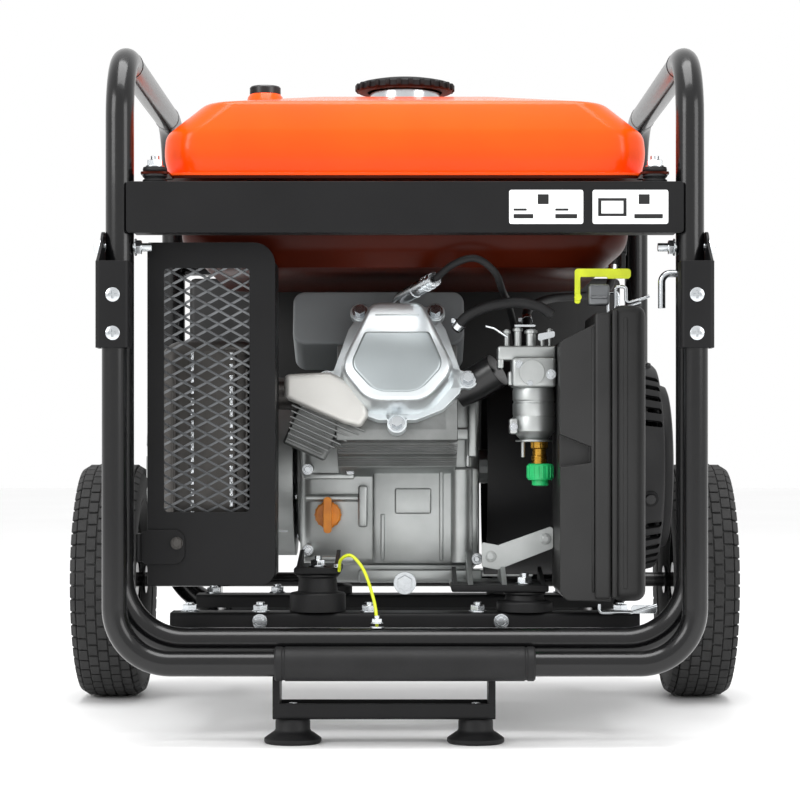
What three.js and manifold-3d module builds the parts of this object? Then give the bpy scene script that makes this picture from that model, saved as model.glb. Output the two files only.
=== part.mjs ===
// Open-frame portable generator with a folding pull handle, two wheels and a rubber-footed stand.
// Millimetres. +X is the operator's right when facing the cylinder head, +Y runs from the handle
// side to the wheel side, +Z is up. The origin is on the floor, in the middle of the whole machine.

import * as THREE from 'three';
import { mergeVertices } from 'three/addons/utils/BufferGeometryUtils.js';
import { RoundedBoxGeometry } from 'three/addons/geometries/RoundedBoxGeometry.js';
import Module from 'manifold-3d';

const wasm = await Module();
wasm.setup();

// ---------------------------------------------------------------- driving dimensions
const GAP = 0.3; // between pieces that touch
const RUNNING = 0.15; // radial clearance of anything that turns

const FRAME_WIDTH = 550; // over the outsides of the legs
const FRAME_DEPTH = 500; // between the front and rear leg centre lines
const FRAME_HEIGHT = 647.5; // floor to the top of the rails
const TUBE_R = 13.5; // frame tube
const TUBE_BEND = 60; // centre-line bend of the frame tube
const TOP_REACH = 74; // how far each hoop runs in towards the rail that joins the two
const SKID_Z = 93; // centre of the bottom tubes
const TUBE_SIDES = 12;

const CROSSBAR_LOW = 467; // lower edge of the two crossbars that carry the tank
const CROSSBAR_TALL = 47;
const SHEET = 3; // folded sheet of crossbars, channels and stand
const CROSSBAR_FLANGE = 22;
const TANK_BOLT_X = 229;
const BUSH_TALL = 7.2; // rubber under each tank ear

const BASE_RAIL_R = 10;
const BASE_RAIL_X = 205;
const CHANNEL_TALL = 14;
const CHANNEL_WIDE = 40;
const FRONT_CHANNEL_Y = -168;
const REAR_CHANNEL_Y = 112;
const CHANNEL_OVERHANG = 17; // each end past the base rail's centre

const WHEEL_R = 127;
const TYRE_WIDE = 68;
const WHEEL_CLEAR = 9; // between a tyre and the rear leg
const TYRE_BEAD_R = 72;
const TYRE_SIDES = 28;
const AXLE_R = 8;
const AXLE_TO_REAR_LEG = 76.3;
const HUB_R = 19;

const HANDLE_R = 11.75;
const HANDLE_OUTSET = 0.5; // handle leg outside the frame leg's centre line
const HANDLE_STAND_OFF = 35; // handle tube in front of the leg centre line
const HANDLE_LOW = 76; // centre of the cross tube when stored
const HANDLE_TOP = 436; // upper ends of the handle tube
const HANDLE_BEND = 50;
const GRIP_WALL = 3.95;
const GRIP_HALF = 117.5;
const PIVOT_Z = 455;
const PIVOT_R = 4;
const BRACKET_SHEET = 2.5;
const BRACKET_LOW = 361;
const BRACKET_TOP = 439;
const PIN_R = 3.6;
const PIN_DROP = 24; // lock hole below the pivot
const PIN_TAIL = 32;

const STAND_X = -19; // middle of the stand
const STAND_HALF = 101.6;
const STAND_LOW = 23.3; // underside of the stand's channel
const STAND_CHANNEL = 14.5;
const STAND_DEEP = 40;
const STAND_SIDE = 6.5;
const FOOT_X = 84; // each foot from the middle of the stand
const FOOT_TOP_R = 16;
const FOOT_BASE_R = 26.5;

const TANK_FLANGE_Z = 524;
const TANK_TOP = 618;
const TANK_HALF_X = 228;
const TANK_HALF_Y = 214;
const TANK_LOW = 442;
const TANK_LOWER_HALF_X = 214;
const TANK_LOWER_HALF_Y = 198;
const TANK_WALL = 2;
const TANK_ROUND = 28; // lower edges
const TANK_CORNER = 34; // upright corners
const TANK_BULGE = 22; // from the rim up to where the side is widest
const TANK_SHOULDER = 42; // from the rim up to where the side turns in
const TANK_BROW = 72; // from the rim up to the edge of the top
const TANK_BROW_IN_X = 38; // that edge in from the widest part, to the left and right
const TANK_BROW_IN_Y = 10; // and to the front and rear
const CREST_HALF_X = 112;
const CREST_HALF_Y = 92;
const TAP_Y = 70;
const TAP_Z = 482;
const TAP_R = 9;
const TAP_STEM = 12; // from the tank's side to the face of the tap
const TANK_RIM = 2.4; // thickness of each welded rim
const NECK_R = 36;
const NECK_TOP = 634;
const NECK_WALL = 4;
const NECK_COLLAR_R = 64;
const EAR_HALF = 13; // half the width of each tank ear
const EAR_BOLT_IN = 12; // tank bolt from the edge of the crossbar's flange
const CAP_R = 51;
const CAP_TOP = 647;

const CRANK_Y = 30;
const CRANK_Z = 252;
const CRANK_R = 17.5;
const CASE_LEFT = -104;
const CASE_RIGHT = 74;
const CASE_FRONT = -80;
const CASE_REAR = 124;
const CASE_TOP = 332;
const CASE_FLOOR = 150;
const CASE_FOOT = 137; // underside of the sump
const CASE_HOLLOW_R = 70;
const LUG_THICK = 7;
const LUG_HALF_X = 22;
const LUG_HALF_Y = 20;
const DIP_X = -76;
const DIP_Z = 205;
const DIP_CAP_R = 13;
const DIP_CAP_TALL = 9;
const DIP_WING = 18; // half the length of the finger grip
const DIP_BLADE_R = 4;

const CYLINDER_X = -7.5;
const CYLINDER_TILT = 22; // degrees above level
const DECK_OUT = 125; // crank axis to the cylinder's foot
const BARREL_LONG = 26;
const HEAD_LONG = 44;
const COVER_LONG = 38;
const CYLINDER_HALF_X = 58;
const CYLINDER_HALF_Z = 50;
const COVER_LIFT = 22; // middle of the rocker cover above the middle of the cylinder
const SHROUD_LIFT = 16; // cooling shroud above the cylinder's fins

const FAN_R = 112;
const FAN_LEFT = 82;
const FAN_TAPER = 30; // length over which the fan cover narrows
const FAN_STEP = 258;
const RECOIL_R = 84;
const RECOIL_END = 270;
const ROPE_X = 222;
const ROPE_LIFT = 52; // rope above the crank axis
const ROPE_R = 2.5;
const SHELL = 3;
const FLYWHEEL_R = 92;

const STATOR_R = 92;
const STATOR_BORE = 64;
const STATOR_RIGHT = -112;
const STATOR_END = -262;
const ROTOR_R = 61;

const CARB_X = 120;
const CARB_FRONT = -196;
const CARB_REAR = -128;
const CARB_Z = 345; // axis of the throat
const THROAT_R = 24;
const BOWL_X = CARB_X + 3;
const BOWL_Y = -166;
const BOWL_R = 20;
const BOWL_LOW = 279;
const CUT_OFF_X = CARB_X + 6;
const CUT_OFF_R = 8;
const CUT_OFF_CAP_R = 11.5;
const CUT_OFF_LOW = 236;

const MUFFLER_LEFT = -232;
const MUFFLER_RIGHT = -134;
const MUFFLER_FRONT = -204;
const MUFFLER_DEEP = 118;
const MUFFLER_LOW = 162;
const MUFFLER_TOP = 372;
const MUFFLER_ROUND = 22;
const PIPE_R = 14;
const PIPE_Y = -122;
const PIPE_Z = 322;
const PIPE_START = -68;
const GUARD_BEHIND_LEG = 24; // guard plate behind the front leg's centre line
const GUARD_LEFT = -239;
const GUARD_RIGHT = -120;
const GUARD_LOW = 143;
const GUARD_TOP = 462;
const GUARD_SHEET = 2;
const GUARD_CORNER = 20;
const GUARD_CHEEK = 60; // depth of the folded edge
const GUARD_TAB_LOW = 163;
const GUARD_TAB_TOP = 195;
const GUARD_TAB_END = -204;

const FILTER_LEFT = 144;
const FILTER_SPLIT = 192;
const FILTER_RIGHT = 225;
const FILTER_FRONT = -222;
const FILTER_REAR = -104;
const FILTER_LOW = 127;
const FILTER_TOP = 405;
const FILTER_WALL = 3;
const FILTER_LIP = 9; // inside of the case above its wall
const BAIL_X = 182;
const BAIL_Y = -205;
const BAIL_R = 1.6;
const CHOKE_X = 162;
const CHOKE_Y = -206;
const CHOKE_Z = 412;
const STRAP_FRONT = -134;
const STRAP_THICK = 3;

const PANEL_HALF = 200;
const PANEL_LEG_GAP = 6; // between the panel's wings and the rear legs
const PANEL_WING_LOW = 356;
const PANEL_LOW = 262;
const PANEL_TOP = 462;
const PANEL_DEEP = 34;
const PANEL_OUT = 12; // face of the panel behind the rear leg's centre line
const SWITCH_X = -150;
const SWITCH_Z = 400;
const SWITCH_HALF_X = 11;
const SWITCH_HALF_Z = 15;
const BUTTON_X = -90;
const BUTTON_BORE = 7;
const WELL_DEEP = 14;

// Centre lines of the free leads and hoses.
const LEAD_ROUTE = [
  [29.2, -192.6, 430.6], [46, -207, 443], [66, -211, 448], [84, -205, 436], [92, -185, 420],
  [98, -150, 412], [106, -110, 392], [112, -76, 360], [114, -52, 335],
];
const BREATHER_ROUTE = [
  [48, -172, 384], [60, -180, 396], [82, -188, 405], [106, -191, 408], [126, -192, 404], [139.6, -193, 396],
];
const FUEL_ROUTE = [
  [118, -118, 372], [120, -96, 392], [124, -60, 410], [150, 0, 424], [190, 40, 430], [214, 62, 440], [220, 70, 470],
];
const EARTH_ROUTE = [
  [-62, -191, 155], [-60, -200, 166], [-50, -207, 170], [-38, -214, 156], [-29, -222, 130], [-26, -234, 113],
  [-25.6, -250, 108.2],
];

// ---------------------------------------------------------------- what follows from them
const LEG_X = FRAME_WIDTH / 2 - TUBE_R;
const RAIL_Z = FRAME_HEIGHT - TUBE_R;
const FRONT_Y = -FRAME_DEPTH / 2;
const REAR_Y = FRAME_DEPTH / 2;
const CROSSBAR_TOP = CROSSBAR_LOW + CROSSBAR_TALL;
const CHANNEL_LOW = SKID_Z + BASE_RAIL_R - 2 + GAP;
const CHANNEL_TOP = CHANNEL_LOW + CHANNEL_TALL;
const CHANNEL_HALF = BASE_RAIL_X + CHANNEL_OVERHANG;
const CROSSBAR_END = LEG_X - TUBE_R * 0.55; // its face laps half way over each leg
const CROSSBAR_FACE = FRONT_Y - TUBE_R + 1.7;
const GUARD_FRONT = FRONT_Y + GUARD_BEHIND_LEG;
const AXLE_Y = REAR_Y - AXLE_TO_REAR_LEG;
const WHEEL_X = LEG_X + TUBE_R + WHEEL_CLEAR + TYRE_WIDE / 2; // middle of each tyre
const HANDLE_Y = FRONT_Y - HANDLE_STAND_OFF;
const HANDLE_X = LEG_X + HANDLE_OUTSET;
const GRIP_R = HANDLE_R + GRIP_WALL;
const EAR_IN = Math.max(LEG_X + TUBE_R, HANDLE_X + HANDLE_R) + 0.8; // inner face of the pivot ear
const STAND_Y = FRONT_Y + 4;
const LOCK_Z = PIVOT_Z - PIN_DROP;
const HEAD_AT = DECK_OUT + BARREL_LONG;
const COVER_AT = HEAD_AT + HEAD_LONG;
const TAP_FACE = TANK_LOWER_HALF_X + TAP_STEM;
const PANEL_FACE = REAR_Y + PANEL_OUT;
const PANEL_WING = LEG_X - TUBE_R - PANEL_LEG_GAP;
const BEYOND = 1000; // clear of the whole machine
const FRONT_MOST = HANDLE_Y - GRIP_R;
const REAR_MOST = AXLE_Y + WHEEL_R;

const MOUNTS = {
  front_left: { x: -83, y: FRONT_CHANNEL_Y, top: 151 },
  front_right: { x: 114, y: FRONT_CHANNEL_Y, top: 134.5 },
  rear_left: { x: -83, y: REAR_CHANNEL_Y, top: 134.5 },
  rear_right: { x: 114, y: REAR_CHANNEL_Y, top: 134.5 },
};

const X = new THREE.Vector3(1, 0, 0);
const Y = new THREE.Vector3(0, 1, 0);
const Z = new THREE.Vector3(0, 0, 1);
const at = (x, y, z) => new THREE.Vector3(x, y, z);
const radians = THREE.MathUtils.degToRad;

// ---------------------------------------------------------------- materials
const finish = (color, roughness, metalness) =>
  new THREE.MeshStandardMaterial({ color, roughness, metalness });
const BLACK_PAINT = finish(0x1a1b1c, 0.35, 0.2);
const ORANGE_PAINT = finish(0xff6420, 0.3, 0.1);
const CAST = finish(0xa9adae, 0.5, 0.9);
const BRIGHT_CAST = finish(0xc8cccd, 0.35, 0.95);
const STEEL = finish(0x9a9c9d, 0.3, 1);
const RUBBER = finish(0x1c1c1d, 0.85, 0);
const TYRE = finish(0x2a2b2d, 0.9, 0);
const PLASTIC = finish(0x17181a, 0.5, 0);
const GREY_PLASTIC = finish(0xb9bcbd, 0.4, 0.4);
const ORANGE_PLASTIC = finish(0xf08a24, 0.4, 0);
const YELLOW_WIRE = finish(0xd8e32a, 0.4, 0);
const FOAM = finish(0x3b3d40, 1, 0);

// ---------------------------------------------------------------- shapes
// Turns every face of a closed geometry to point out.
function outward(geometry) {
  const position = geometry.getAttribute('position');
  const count = geometry.index ? geometry.index.count : position.count;
  const pick = (i) => (geometry.index ? geometry.index.getX(i) : i);
  const [a, b, c] = [at(0, 0, 0), at(0, 0, 0), at(0, 0, 0)];
  let volume = 0;
  for (let i = 0; i < count; i += 3) {
    a.fromBufferAttribute(position, pick(i));
    b.fromBufferAttribute(position, pick(i + 1));
    c.fromBufferAttribute(position, pick(i + 2));
    volume += a.dot(b.cross(c));
  }
  if (volume >= 0) {
    return geometry;
  }
  const flipped = [];
  for (let i = 0; i < count; i += 3) {
    flipped.push(pick(i), pick(i + 2), pick(i + 1));
  }
  geometry.setIndex(flipped);
  return geometry;
}

function block(x0, x1, y0, y1, z0, z1) {
  const geometry = new THREE.BoxGeometry(x1 - x0, y1 - y0, z1 - z0);
  return geometry.translate((x0 + x1) / 2, (y0 + y1) / 2, (z0 + z1) / 2);
}

function softBlock(x0, x1, y0, y1, z0, z1, radius, segments = 2) {
  const geometry = new RoundedBoxGeometry(x1 - x0, y1 - y0, z1 - z0, segments, radius);
  return geometry.translate((x0 + x1) / 2, (y0 + y1) / 2, (z0 + z1) / 2);
}

function rod(from, to, radius, sides = 16) {
  const along = to.clone().sub(from);
  const geometry = new THREE.CylinderGeometry(radius, radius, along.length(), sides);
  geometry.applyQuaternion(new THREE.Quaternion().setFromUnitVectors(Y, along.clone().normalize()));
  const middle = from.clone().add(to).multiplyScalar(0.5);
  return geometry.translate(middle.x, middle.y, middle.z);
}

// A polygon whose flats stay clear of a round of the given radius that turns inside it.
const boreRadius = (radius, clearance, sides) => (radius + clearance) / Math.cos(Math.PI / sides);

function ringShape(radius, sides) {
  const points = [];
  for (let i = 0; i < sides; i++) {
    const angle = ((i + 0.5) / sides) * 2 * Math.PI;
    points.push(new THREE.Vector2(radius * Math.cos(angle), radius * Math.sin(angle)));
  }
  return new THREE.Shape(points);
}

function rectangle(x0, x1, y0, y1) {
  const corners = [[x0, y0], [x1, y0], [x1, y1], [x0, y1]];
  return new THREE.Shape(corners.map(([x, y]) => new THREE.Vector2(x, y)));
}

function roundedRectangle(x0, x1, y0, y1, radius) {
  const shape = new THREE.Shape();
  shape.absarc(x1 - radius, y1 - radius, radius, 0, Math.PI / 2);
  shape.absarc(x0 + radius, y1 - radius, radius, Math.PI / 2, Math.PI);
  shape.absarc(x0 + radius, y0 + radius, radius, Math.PI, 1.5 * Math.PI);
  shape.absarc(x1 - radius, y0 + radius, radius, 1.5 * Math.PI, 2 * Math.PI);
  return shape;
}

function polygon(points) {
  return new THREE.Shape(points.map(([x, y]) => new THREE.Vector2(x, y)));
}

// A flat outline drawn in one plane and given its thickness along the axis square to it.
function prism(shape, plane, from, to, curveSegments = 6) {
  const settings = { depth: to - from, bevelEnabled: false, curveSegments };
  const geometry = new THREE.ExtrudeGeometry(shape, settings);
  const turn = new THREE.Matrix4();
  if (plane === 'yz') {
    turn.makeBasis(Y, Z, X).setPosition(from, 0, 0);
  } else if (plane === 'xz') {
    turn.makeBasis(X, Z, Y.clone().negate()).setPosition(0, to, 0);
  } else {
    turn.setPosition(0, 0, from);
  }
  return geometry.applyMatrix4(turn);
}

// A profile of [radius, height along the axis] pairs, turned about X, Y or Z.
function turned(profile, axis, sides = 24) {
  const points = profile.map(([radius, height]) => new THREE.Vector2(radius, height));
  const geometry = new THREE.LatheGeometry(points, sides);
  if (axis === 'x') {
    geometry.rotateZ(-Math.PI / 2);
  }
  if (axis === 'z') {
    geometry.rotateX(Math.PI / 2);
  }
  return outward(geometry);
}

const ring = (inner, outer, low, high) =>
  [[inner, low], [outer, low], [outer, high], [inner, high], [inner, low]];

// A centre line of straight runs joined by true bends, with a station at each end of a run.
class BentPath extends THREE.Curve {
  constructor(corners, bend, bendSteps = 5) {
    super();
    this.stations = [];
    const last = corners.length - 1;
    for (let i = 0; i <= last; i++) {
      if (i === 0 || i === last) {
        const [from, to] = i === 0 ? [corners[0], corners[1]] : [corners[last - 1], corners[last]];
        const tangent = to.clone().sub(from).normalize();
        this.stations.push({ point: corners[i].clone(), tangent });
      } else {
        this.bendAt(corners[i - 1], corners[i], corners[i + 1], bend, bendSteps);
      }
    }
  }

  bendAt(before, corner, after, bend, bendSteps) {
    const inward = corner.clone().sub(before).normalize();
    const outwards = after.clone().sub(corner).normalize();
    const turn = inward.angleTo(outwards);
    const axis = inward.clone().cross(outwards).normalize();
    const setBack = bend * Math.tan(turn / 2);
    const start = corner.clone().addScaledVector(inward, -setBack);
    const centre = start.clone().addScaledVector(axis.clone().cross(inward), bend);
    for (let step = 0; step <= bendSteps; step++) {
      const angle = (turn * step) / bendSteps;
      const arm = start.clone().sub(centre).applyAxisAngle(axis, angle);
      const tangent = inward.clone().applyAxisAngle(axis, angle);
      this.stations.push({ point: centre.clone().add(arm), tangent });
    }
  }

  station(u) {
    return this.stations[Math.round(u * (this.stations.length - 1))];
  }

  getPointAt(u, target = at(0, 0, 0)) {
    return target.copy(this.station(u).point);
  }

  getTangentAt(u, target = at(0, 0, 0)) {
    return target.copy(this.station(u).tangent);
  }
}

function bentTube(corners, radius, bend, sides = TUBE_SIDES, bendSteps = 5) {
  const extrudePath = new BentPath(corners, bend, bendSteps);
  const steps = extrudePath.stations.length - 1;
  const settings = { steps, extrudePath, bevelEnabled: false };
  return outward(new THREE.ExtrudeGeometry(ringShape(radius, sides), settings));
}

function smoothTube(points, radius, steps, sides = 8) {
  const extrudePath = new THREE.CatmullRomCurve3(points, false, 'centripetal');
  const settings = { steps, extrudePath, bevelEnabled: false };
  return outward(new THREE.ExtrudeGeometry(ringShape(radius, sides), settings));
}

// ---------------------------------------------------------------- joins and cuts
function solid(geometry) {
  const bare = new THREE.BufferGeometry();
  bare.setAttribute('position', geometry.getAttribute('position').clone());
  if (geometry.index) {
    bare.setIndex(geometry.index.clone());
  }
  const merged = mergeVertices(bare, 1e-3);
  const corners = [];
  for (let i = 0; i < merged.index.count; i += 3) {
    const [a, b, c] = [0, 1, 2].map((k) => merged.index.getX(i + k));
    if (a !== b && b !== c && c !== a) {
      corners.push(a, b, c);
    }
  }
  const vertProperties = new Float32Array(merged.getAttribute('position').array);
  const triVerts = new Uint32Array(corners);
  return new wasm.Manifold(new wasm.Mesh({ numProp: 3, vertProperties, triVerts }));
}

function geometryOf(manifold) {
  const mesh = manifold.getMesh();
  const geometry = new THREE.BufferGeometry();
  geometry.setAttribute('position', new THREE.BufferAttribute(mesh.vertProperties, 3));
  geometry.setIndex(new THREE.BufferAttribute(mesh.triVerts, 1));
  geometry.computeVertexNormals();
  return geometry;
}

// The first list is joined into one body, then the second list is cut out of it.
function carve(joined, removed = []) {
  let body = solid(joined[0]);
  for (const geometry of joined.slice(1)) {
    body = body.add(solid(geometry));
  }
  for (const geometry of removed) {
    body = body.subtract(solid(geometry));
  }
  return geometryOf(body);
}

const generator = new THREE.Group();
// The frame is drawn about its own middle, and the whole machine stands about the origin.
generator.position.y = -(FRONT_MOST + REAR_MOST) / 2;

function place(name, geometry, material, position = [0, 0, 0], parent = generator) {
  const mesh = new THREE.Mesh(geometry, material);
  mesh.name = name;
  mesh.position.set(...position);
  parent.add(mesh);
  return mesh;
}

// ---------------------------------------------------------------- frame
function hoopGeometry(side) {
  const y = side * REAR_Y;
  const inner = y - side * TOP_REACH;
  const corners = [
    at(-LEG_X, inner, RAIL_Z),
    at(-LEG_X, y, RAIL_Z),
    at(-LEG_X, y, SKID_Z),
    at(LEG_X, y, SKID_Z),
    at(LEG_X, y, RAIL_Z),
    at(LEG_X, inner, RAIL_Z),
  ];
  return bentTube(corners, TUBE_R, TUBE_BEND);
}

function frontHoop() {
  const studs = [-1, 1].flatMap((side) => {
    const earOut = EAR_IN + BRACKET_SHEET + 0.4;
    const stud = rod(at(side * LEG_X, FRONT_Y, PIVOT_Z), at(side * (earOut + 1), FRONT_Y, PIVOT_Z), PIVOT_R);
    const head = rod(at(side * earOut, FRONT_Y, PIVOT_Z), at(side * (earOut + 7), FRONT_Y, PIVOT_Z), 7.5, 6);
    return [stud, head];
  });
  const pinHole = rod(at(LEG_X - 20, FRONT_Y, LOCK_Z), at(LEG_X + 20, FRONT_Y, LOCK_Z), PIN_R + 0.5, 12);
  return carve([hoopGeometry(-1), ...studs], [pinHole]);
}

function topRail(side) {
  const reach = TOP_REACH + GAP;
  return bentTube([at(0, FRONT_Y + reach, 0), at(0, REAR_Y - reach, 0)], TUBE_R, 1);
}

// Folded channel with its face outwards, its flanges between the legs and a rest for each tank ear.
function crossbar(side) {
  const faceFoot = CROSSBAR_FACE;
  const flangeEnd = LEG_X - TUBE_R - 0.4;
  const back = faceFoot + CROSSBAR_FLANGE;
  const face = block(-CROSSBAR_END, CROSSBAR_END, faceFoot - SHEET, faceFoot, CROSSBAR_LOW, CROSSBAR_TOP);
  const low = block(-flangeEnd, flangeEnd, faceFoot - 1, back, CROSSBAR_LOW, CROSSBAR_LOW + SHEET);
  const top = block(-flangeEnd, flangeEnd, faceFoot - 1, back, CROSSBAR_TOP - SHEET, CROSSBAR_TOP);
  const rests = [-1, 1].map((hand) => {
    const x = hand * TANK_BOLT_X;
    return rod(at(x, back - 12, CROSSBAR_TOP - 1), at(x, back - 12, CROSSBAR_TOP + BUSH_TALL), 11, 12);
  });
  const geometry = carve([face, low, top, ...rests]);
  return side > 0 ? geometry.rotateZ(Math.PI) : geometry;
}

function baseRail() {
  const clear = TUBE_R + 0.5;
  return rod(at(0, FRONT_Y + clear, SKID_Z - 2), at(0, REAR_Y - clear, SKID_Z - 2), BASE_RAIL_R, 12);
}

function baseChannel() {
  const half = CHANNEL_WIDE / 2;
  const outline = polygon([
    [-half, CHANNEL_LOW], [-half + SHEET, CHANNEL_LOW], [-half + SHEET, CHANNEL_TOP - SHEET],
    [half - SHEET, CHANNEL_TOP - SHEET], [half - SHEET, CHANNEL_LOW], [half, CHANNEL_LOW],
    [half, CHANNEL_TOP], [-half, CHANNEL_TOP],
  ]);
  return prism(outline, 'yz', -CHANNEL_HALF, CHANNEL_HALF);
}

function rubberMount(top) {
  const foot = CHANNEL_TOP + GAP;
  const head = top - GAP;
  const profile = [[0, foot], [27, foot], [27, foot + 4], [21, (foot + head) / 2], [25, head - 2], [25, head], [0, head]];
  return turned(profile, 'z', 12);
}

function buildFrame() {
  place('front_hoop', frontHoop(), BLACK_PAINT);
  place('rear_hoop', hoopGeometry(1), BLACK_PAINT);
  place('left_top_rail', topRail(), BLACK_PAINT, [-LEG_X, 0, RAIL_Z]);
  place('right_top_rail', topRail(), BLACK_PAINT, [LEG_X, 0, RAIL_Z]);
  place('front_crossbar', crossbar(-1), BLACK_PAINT);
  place('rear_crossbar', crossbar(1), BLACK_PAINT);
  place('left_base_rail', baseRail(), BLACK_PAINT, [-BASE_RAIL_X, 0, 0]);
  place('right_base_rail', baseRail(), BLACK_PAINT, [BASE_RAIL_X, 0, 0]);
  place('front_base_channel', baseChannel(), BLACK_PAINT, [0, FRONT_CHANNEL_Y, 0]);
  place('rear_base_channel', baseChannel(), BLACK_PAINT, [0, REAR_CHANNEL_Y, 0]);
  for (const [name, mount] of Object.entries(MOUNTS)) {
    place(`engine_mount_${name}`, rubberMount(mount.top), RUBBER, [mount.x, mount.y, 0]);
  }
}

// ---------------------------------------------------------------- stand, axle and wheels
function standBracket() {
  const front = -STAND_DEEP / 2;
  const back = STAND_DEEP / 2;
  const top = STAND_LOW + STAND_CHANNEL;
  const tubeUnder = SKID_Z - TUBE_R - GAP;
  const pieces = [
    block(-STAND_HALF, STAND_HALF, front, back, STAND_LOW, STAND_LOW + SHEET),
    block(-STAND_HALF, STAND_HALF, front, front + SHEET, STAND_LOW, top),
    block(-STAND_HALF, STAND_HALF, back - SHEET, back, STAND_LOW, top),
  ];
  for (const side of [-1, 1]) {
    const [a, b] = [side * STAND_HALF, side * (STAND_HALF - STAND_SIDE)].sort((p, q) => p - q);
    pieces.push(block(a, b, front, back, STAND_LOW, tubeUnder));
  }
  return carve(pieces);
}

function rubberFoot() {
  const top = STAND_LOW - GAP;
  const profile = [
    [0, 0], [FOOT_BASE_R - 1.5, 0], [FOOT_BASE_R, 2], [FOOT_BASE_R, 5],
    [FOOT_TOP_R + 3, 10], [FOOT_TOP_R, 12], [FOOT_TOP_R, top], [0, top],
  ];
  return turned(profile, 'z', 16);
}

function axle() {
  const end = WHEEL_X + TYRE_WIDE / 2 - 8;
  const underside = SKID_Z - 2 + BASE_RAIL_R + GAP;
  const shaft = rod(at(-end, 0, WHEEL_R), at(end, 0, WHEEL_R), AXLE_R);
  const lugs = [-1, 1].map((side) => {
    const x = side * BASE_RAIL_X;
    return block(x - 4, x + 4, -16, 16, underside, WHEEL_R + 4);
  });
  return carve([shaft, ...lugs]);
}

function tyre() {
  const half = TYRE_WIDE / 2;
  const profile = [
    [TYRE_BEAD_R, -half + 12], [TYRE_BEAD_R + 10, -half + 4], [WHEEL_R - 26, -half], [WHEEL_R - 9, -half + 3],
    [WHEEL_R - 2, -half + 10], [WHEEL_R, -half + 18], [WHEEL_R, half - 18], [WHEEL_R - 2, half - 10],
    [WHEEL_R - 9, half - 3], [WHEEL_R - 26, half], [TYRE_BEAD_R + 10, half - 4], [TYRE_BEAD_R, half - 12],
    [TYRE_BEAD_R, -half + 12],
  ];
  return turned(profile, 'x', TYRE_SIDES);
}

function rim() {
  const half = TYRE_WIDE / 2;
  const bore = boreRadius(AXLE_R, RUNNING, 16);
  const bead = TYRE_BEAD_R * Math.cos(Math.PI / TYRE_SIDES) - GAP;
  const profile = [
    [bore, -half + 10], [HUB_R, -half + 10], [HUB_R, -5], [bead - 6, -5], [bead - 6, -half + 13], [bead, -half + 13],
    [bead, half - 13], [bead - 6, half - 13], [bead - 6, 1], [HUB_R, 1], [HUB_R, half - 10], [bore, half - 10],
    [bore, -half + 10],
  ];
  return turned(profile, 'x', 16);
}

function buildRunningGear() {
  place('stand_bracket', standBracket(), BLACK_PAINT, [STAND_X, STAND_Y, 0]);
  place('stand_foot_left', rubberFoot(), RUBBER, [STAND_X - FOOT_X, STAND_Y, 0]);
  place('stand_foot_right', rubberFoot(), RUBBER, [STAND_X + FOOT_X, STAND_Y, 0]);
  place('axle', axle(), STEEL, [0, AXLE_Y, 0]);
  for (const [name, side] of [['left', -1], ['right', 1]]) {
    place(`rim_${name}`, rim(), BLACK_PAINT, [side * WHEEL_X, AXLE_Y, WHEEL_R]);
    place(`tyre_${name}`, tyre(), TYRE, [side * WHEEL_X, AXLE_Y, WHEEL_R]);
  }
}

// ---------------------------------------------------------------- folding handle
function handleTube() {
  const corners = [
    at(-HANDLE_X, 0, HANDLE_TOP), at(-HANDLE_X, 0, HANDLE_LOW),
    at(HANDLE_X, 0, HANDLE_LOW), at(HANDLE_X, 0, HANDLE_TOP),
  ];
  return bentTube(corners, HANDLE_R, HANDLE_BEND);
}

function handleGrip() {
  const bore = boreRadius(HANDLE_R, GAP, 20);
  const soft = 2.5;
  const profile = [
    [bore, -GRIP_HALF], [GRIP_R - soft, -GRIP_HALF], [GRIP_R, -GRIP_HALF + soft],
    [GRIP_R, GRIP_HALF - soft], [GRIP_R - soft, GRIP_HALF], [bore, GRIP_HALF], [bore, -GRIP_HALF],
  ];
  return turned(profile, 'x', 20);
}

// Channel round the upper end of a handle leg, with an ear outside the frame leg that turns on the
// pivot stud. Two lock holes in the ear meet the lock pin in the stored and in the raised position.
function handleBracket(side) {
  const web = -HANDLE_STAND_OFF - HANDLE_R - GAP;
  const front = web - BRACKET_SHEET;
  const innerFace = HANDLE_X - HANDLE_R - 0.4;
  const low = BRACKET_LOW - PIVOT_Z;
  const top = BRACKET_TOP - PIVOT_Z;
  const pinReach = PIN_DROP + 10;
  const ear = new THREE.Shape();
  ear.moveTo(front, low);
  ear.lineTo(-22, low);
  ear.lineTo(-22, -46);
  ear.lineTo(0, -pinReach);
  ear.absarc(0, 0, pinReach, -Math.PI / 2, 0, false);
  ear.absarc(pinReach - 10, 0, 10, 0, Math.PI / 2, false);
  ear.absarc(0, 0, 14, Math.PI / 2, Math.PI, false);
  ear.lineTo(front, top);
  const pinBore = boreRadius(PIN_R, 0.4, 12);
  const earPlate = prism(ear, 'yz', 0, BRACKET_SHEET);
  earPlate.translate(EAR_IN, 0, 0);
  const webPlate = block(innerFace - BRACKET_SHEET, EAR_IN + 1, front, web, low, top);
  const innerPlate = block(innerFace - BRACKET_SHEET, innerFace, front, -HANDLE_STAND_OFF + HANDLE_R, low, top);
  const across = (y, z, radius) => rod(at(EAR_IN - 5, y, z), at(EAR_IN + 10, y, z), radius, 12);
  const geometry = carve(
    [earPlate, webPlate, innerPlate],
    [across(0, 0, boreRadius(PIVOT_R, RUNNING, 12)), across(0, -PIN_DROP, pinBore), across(PIN_DROP, 0, pinBore)],
  );
  return side > 0 ? geometry : mirrored(geometry);
}

// Left-hand copy of a right-hand piece.
function mirrored(geometry) {
  return outward(geometry.scale(-1, 1, 1));
}

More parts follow.
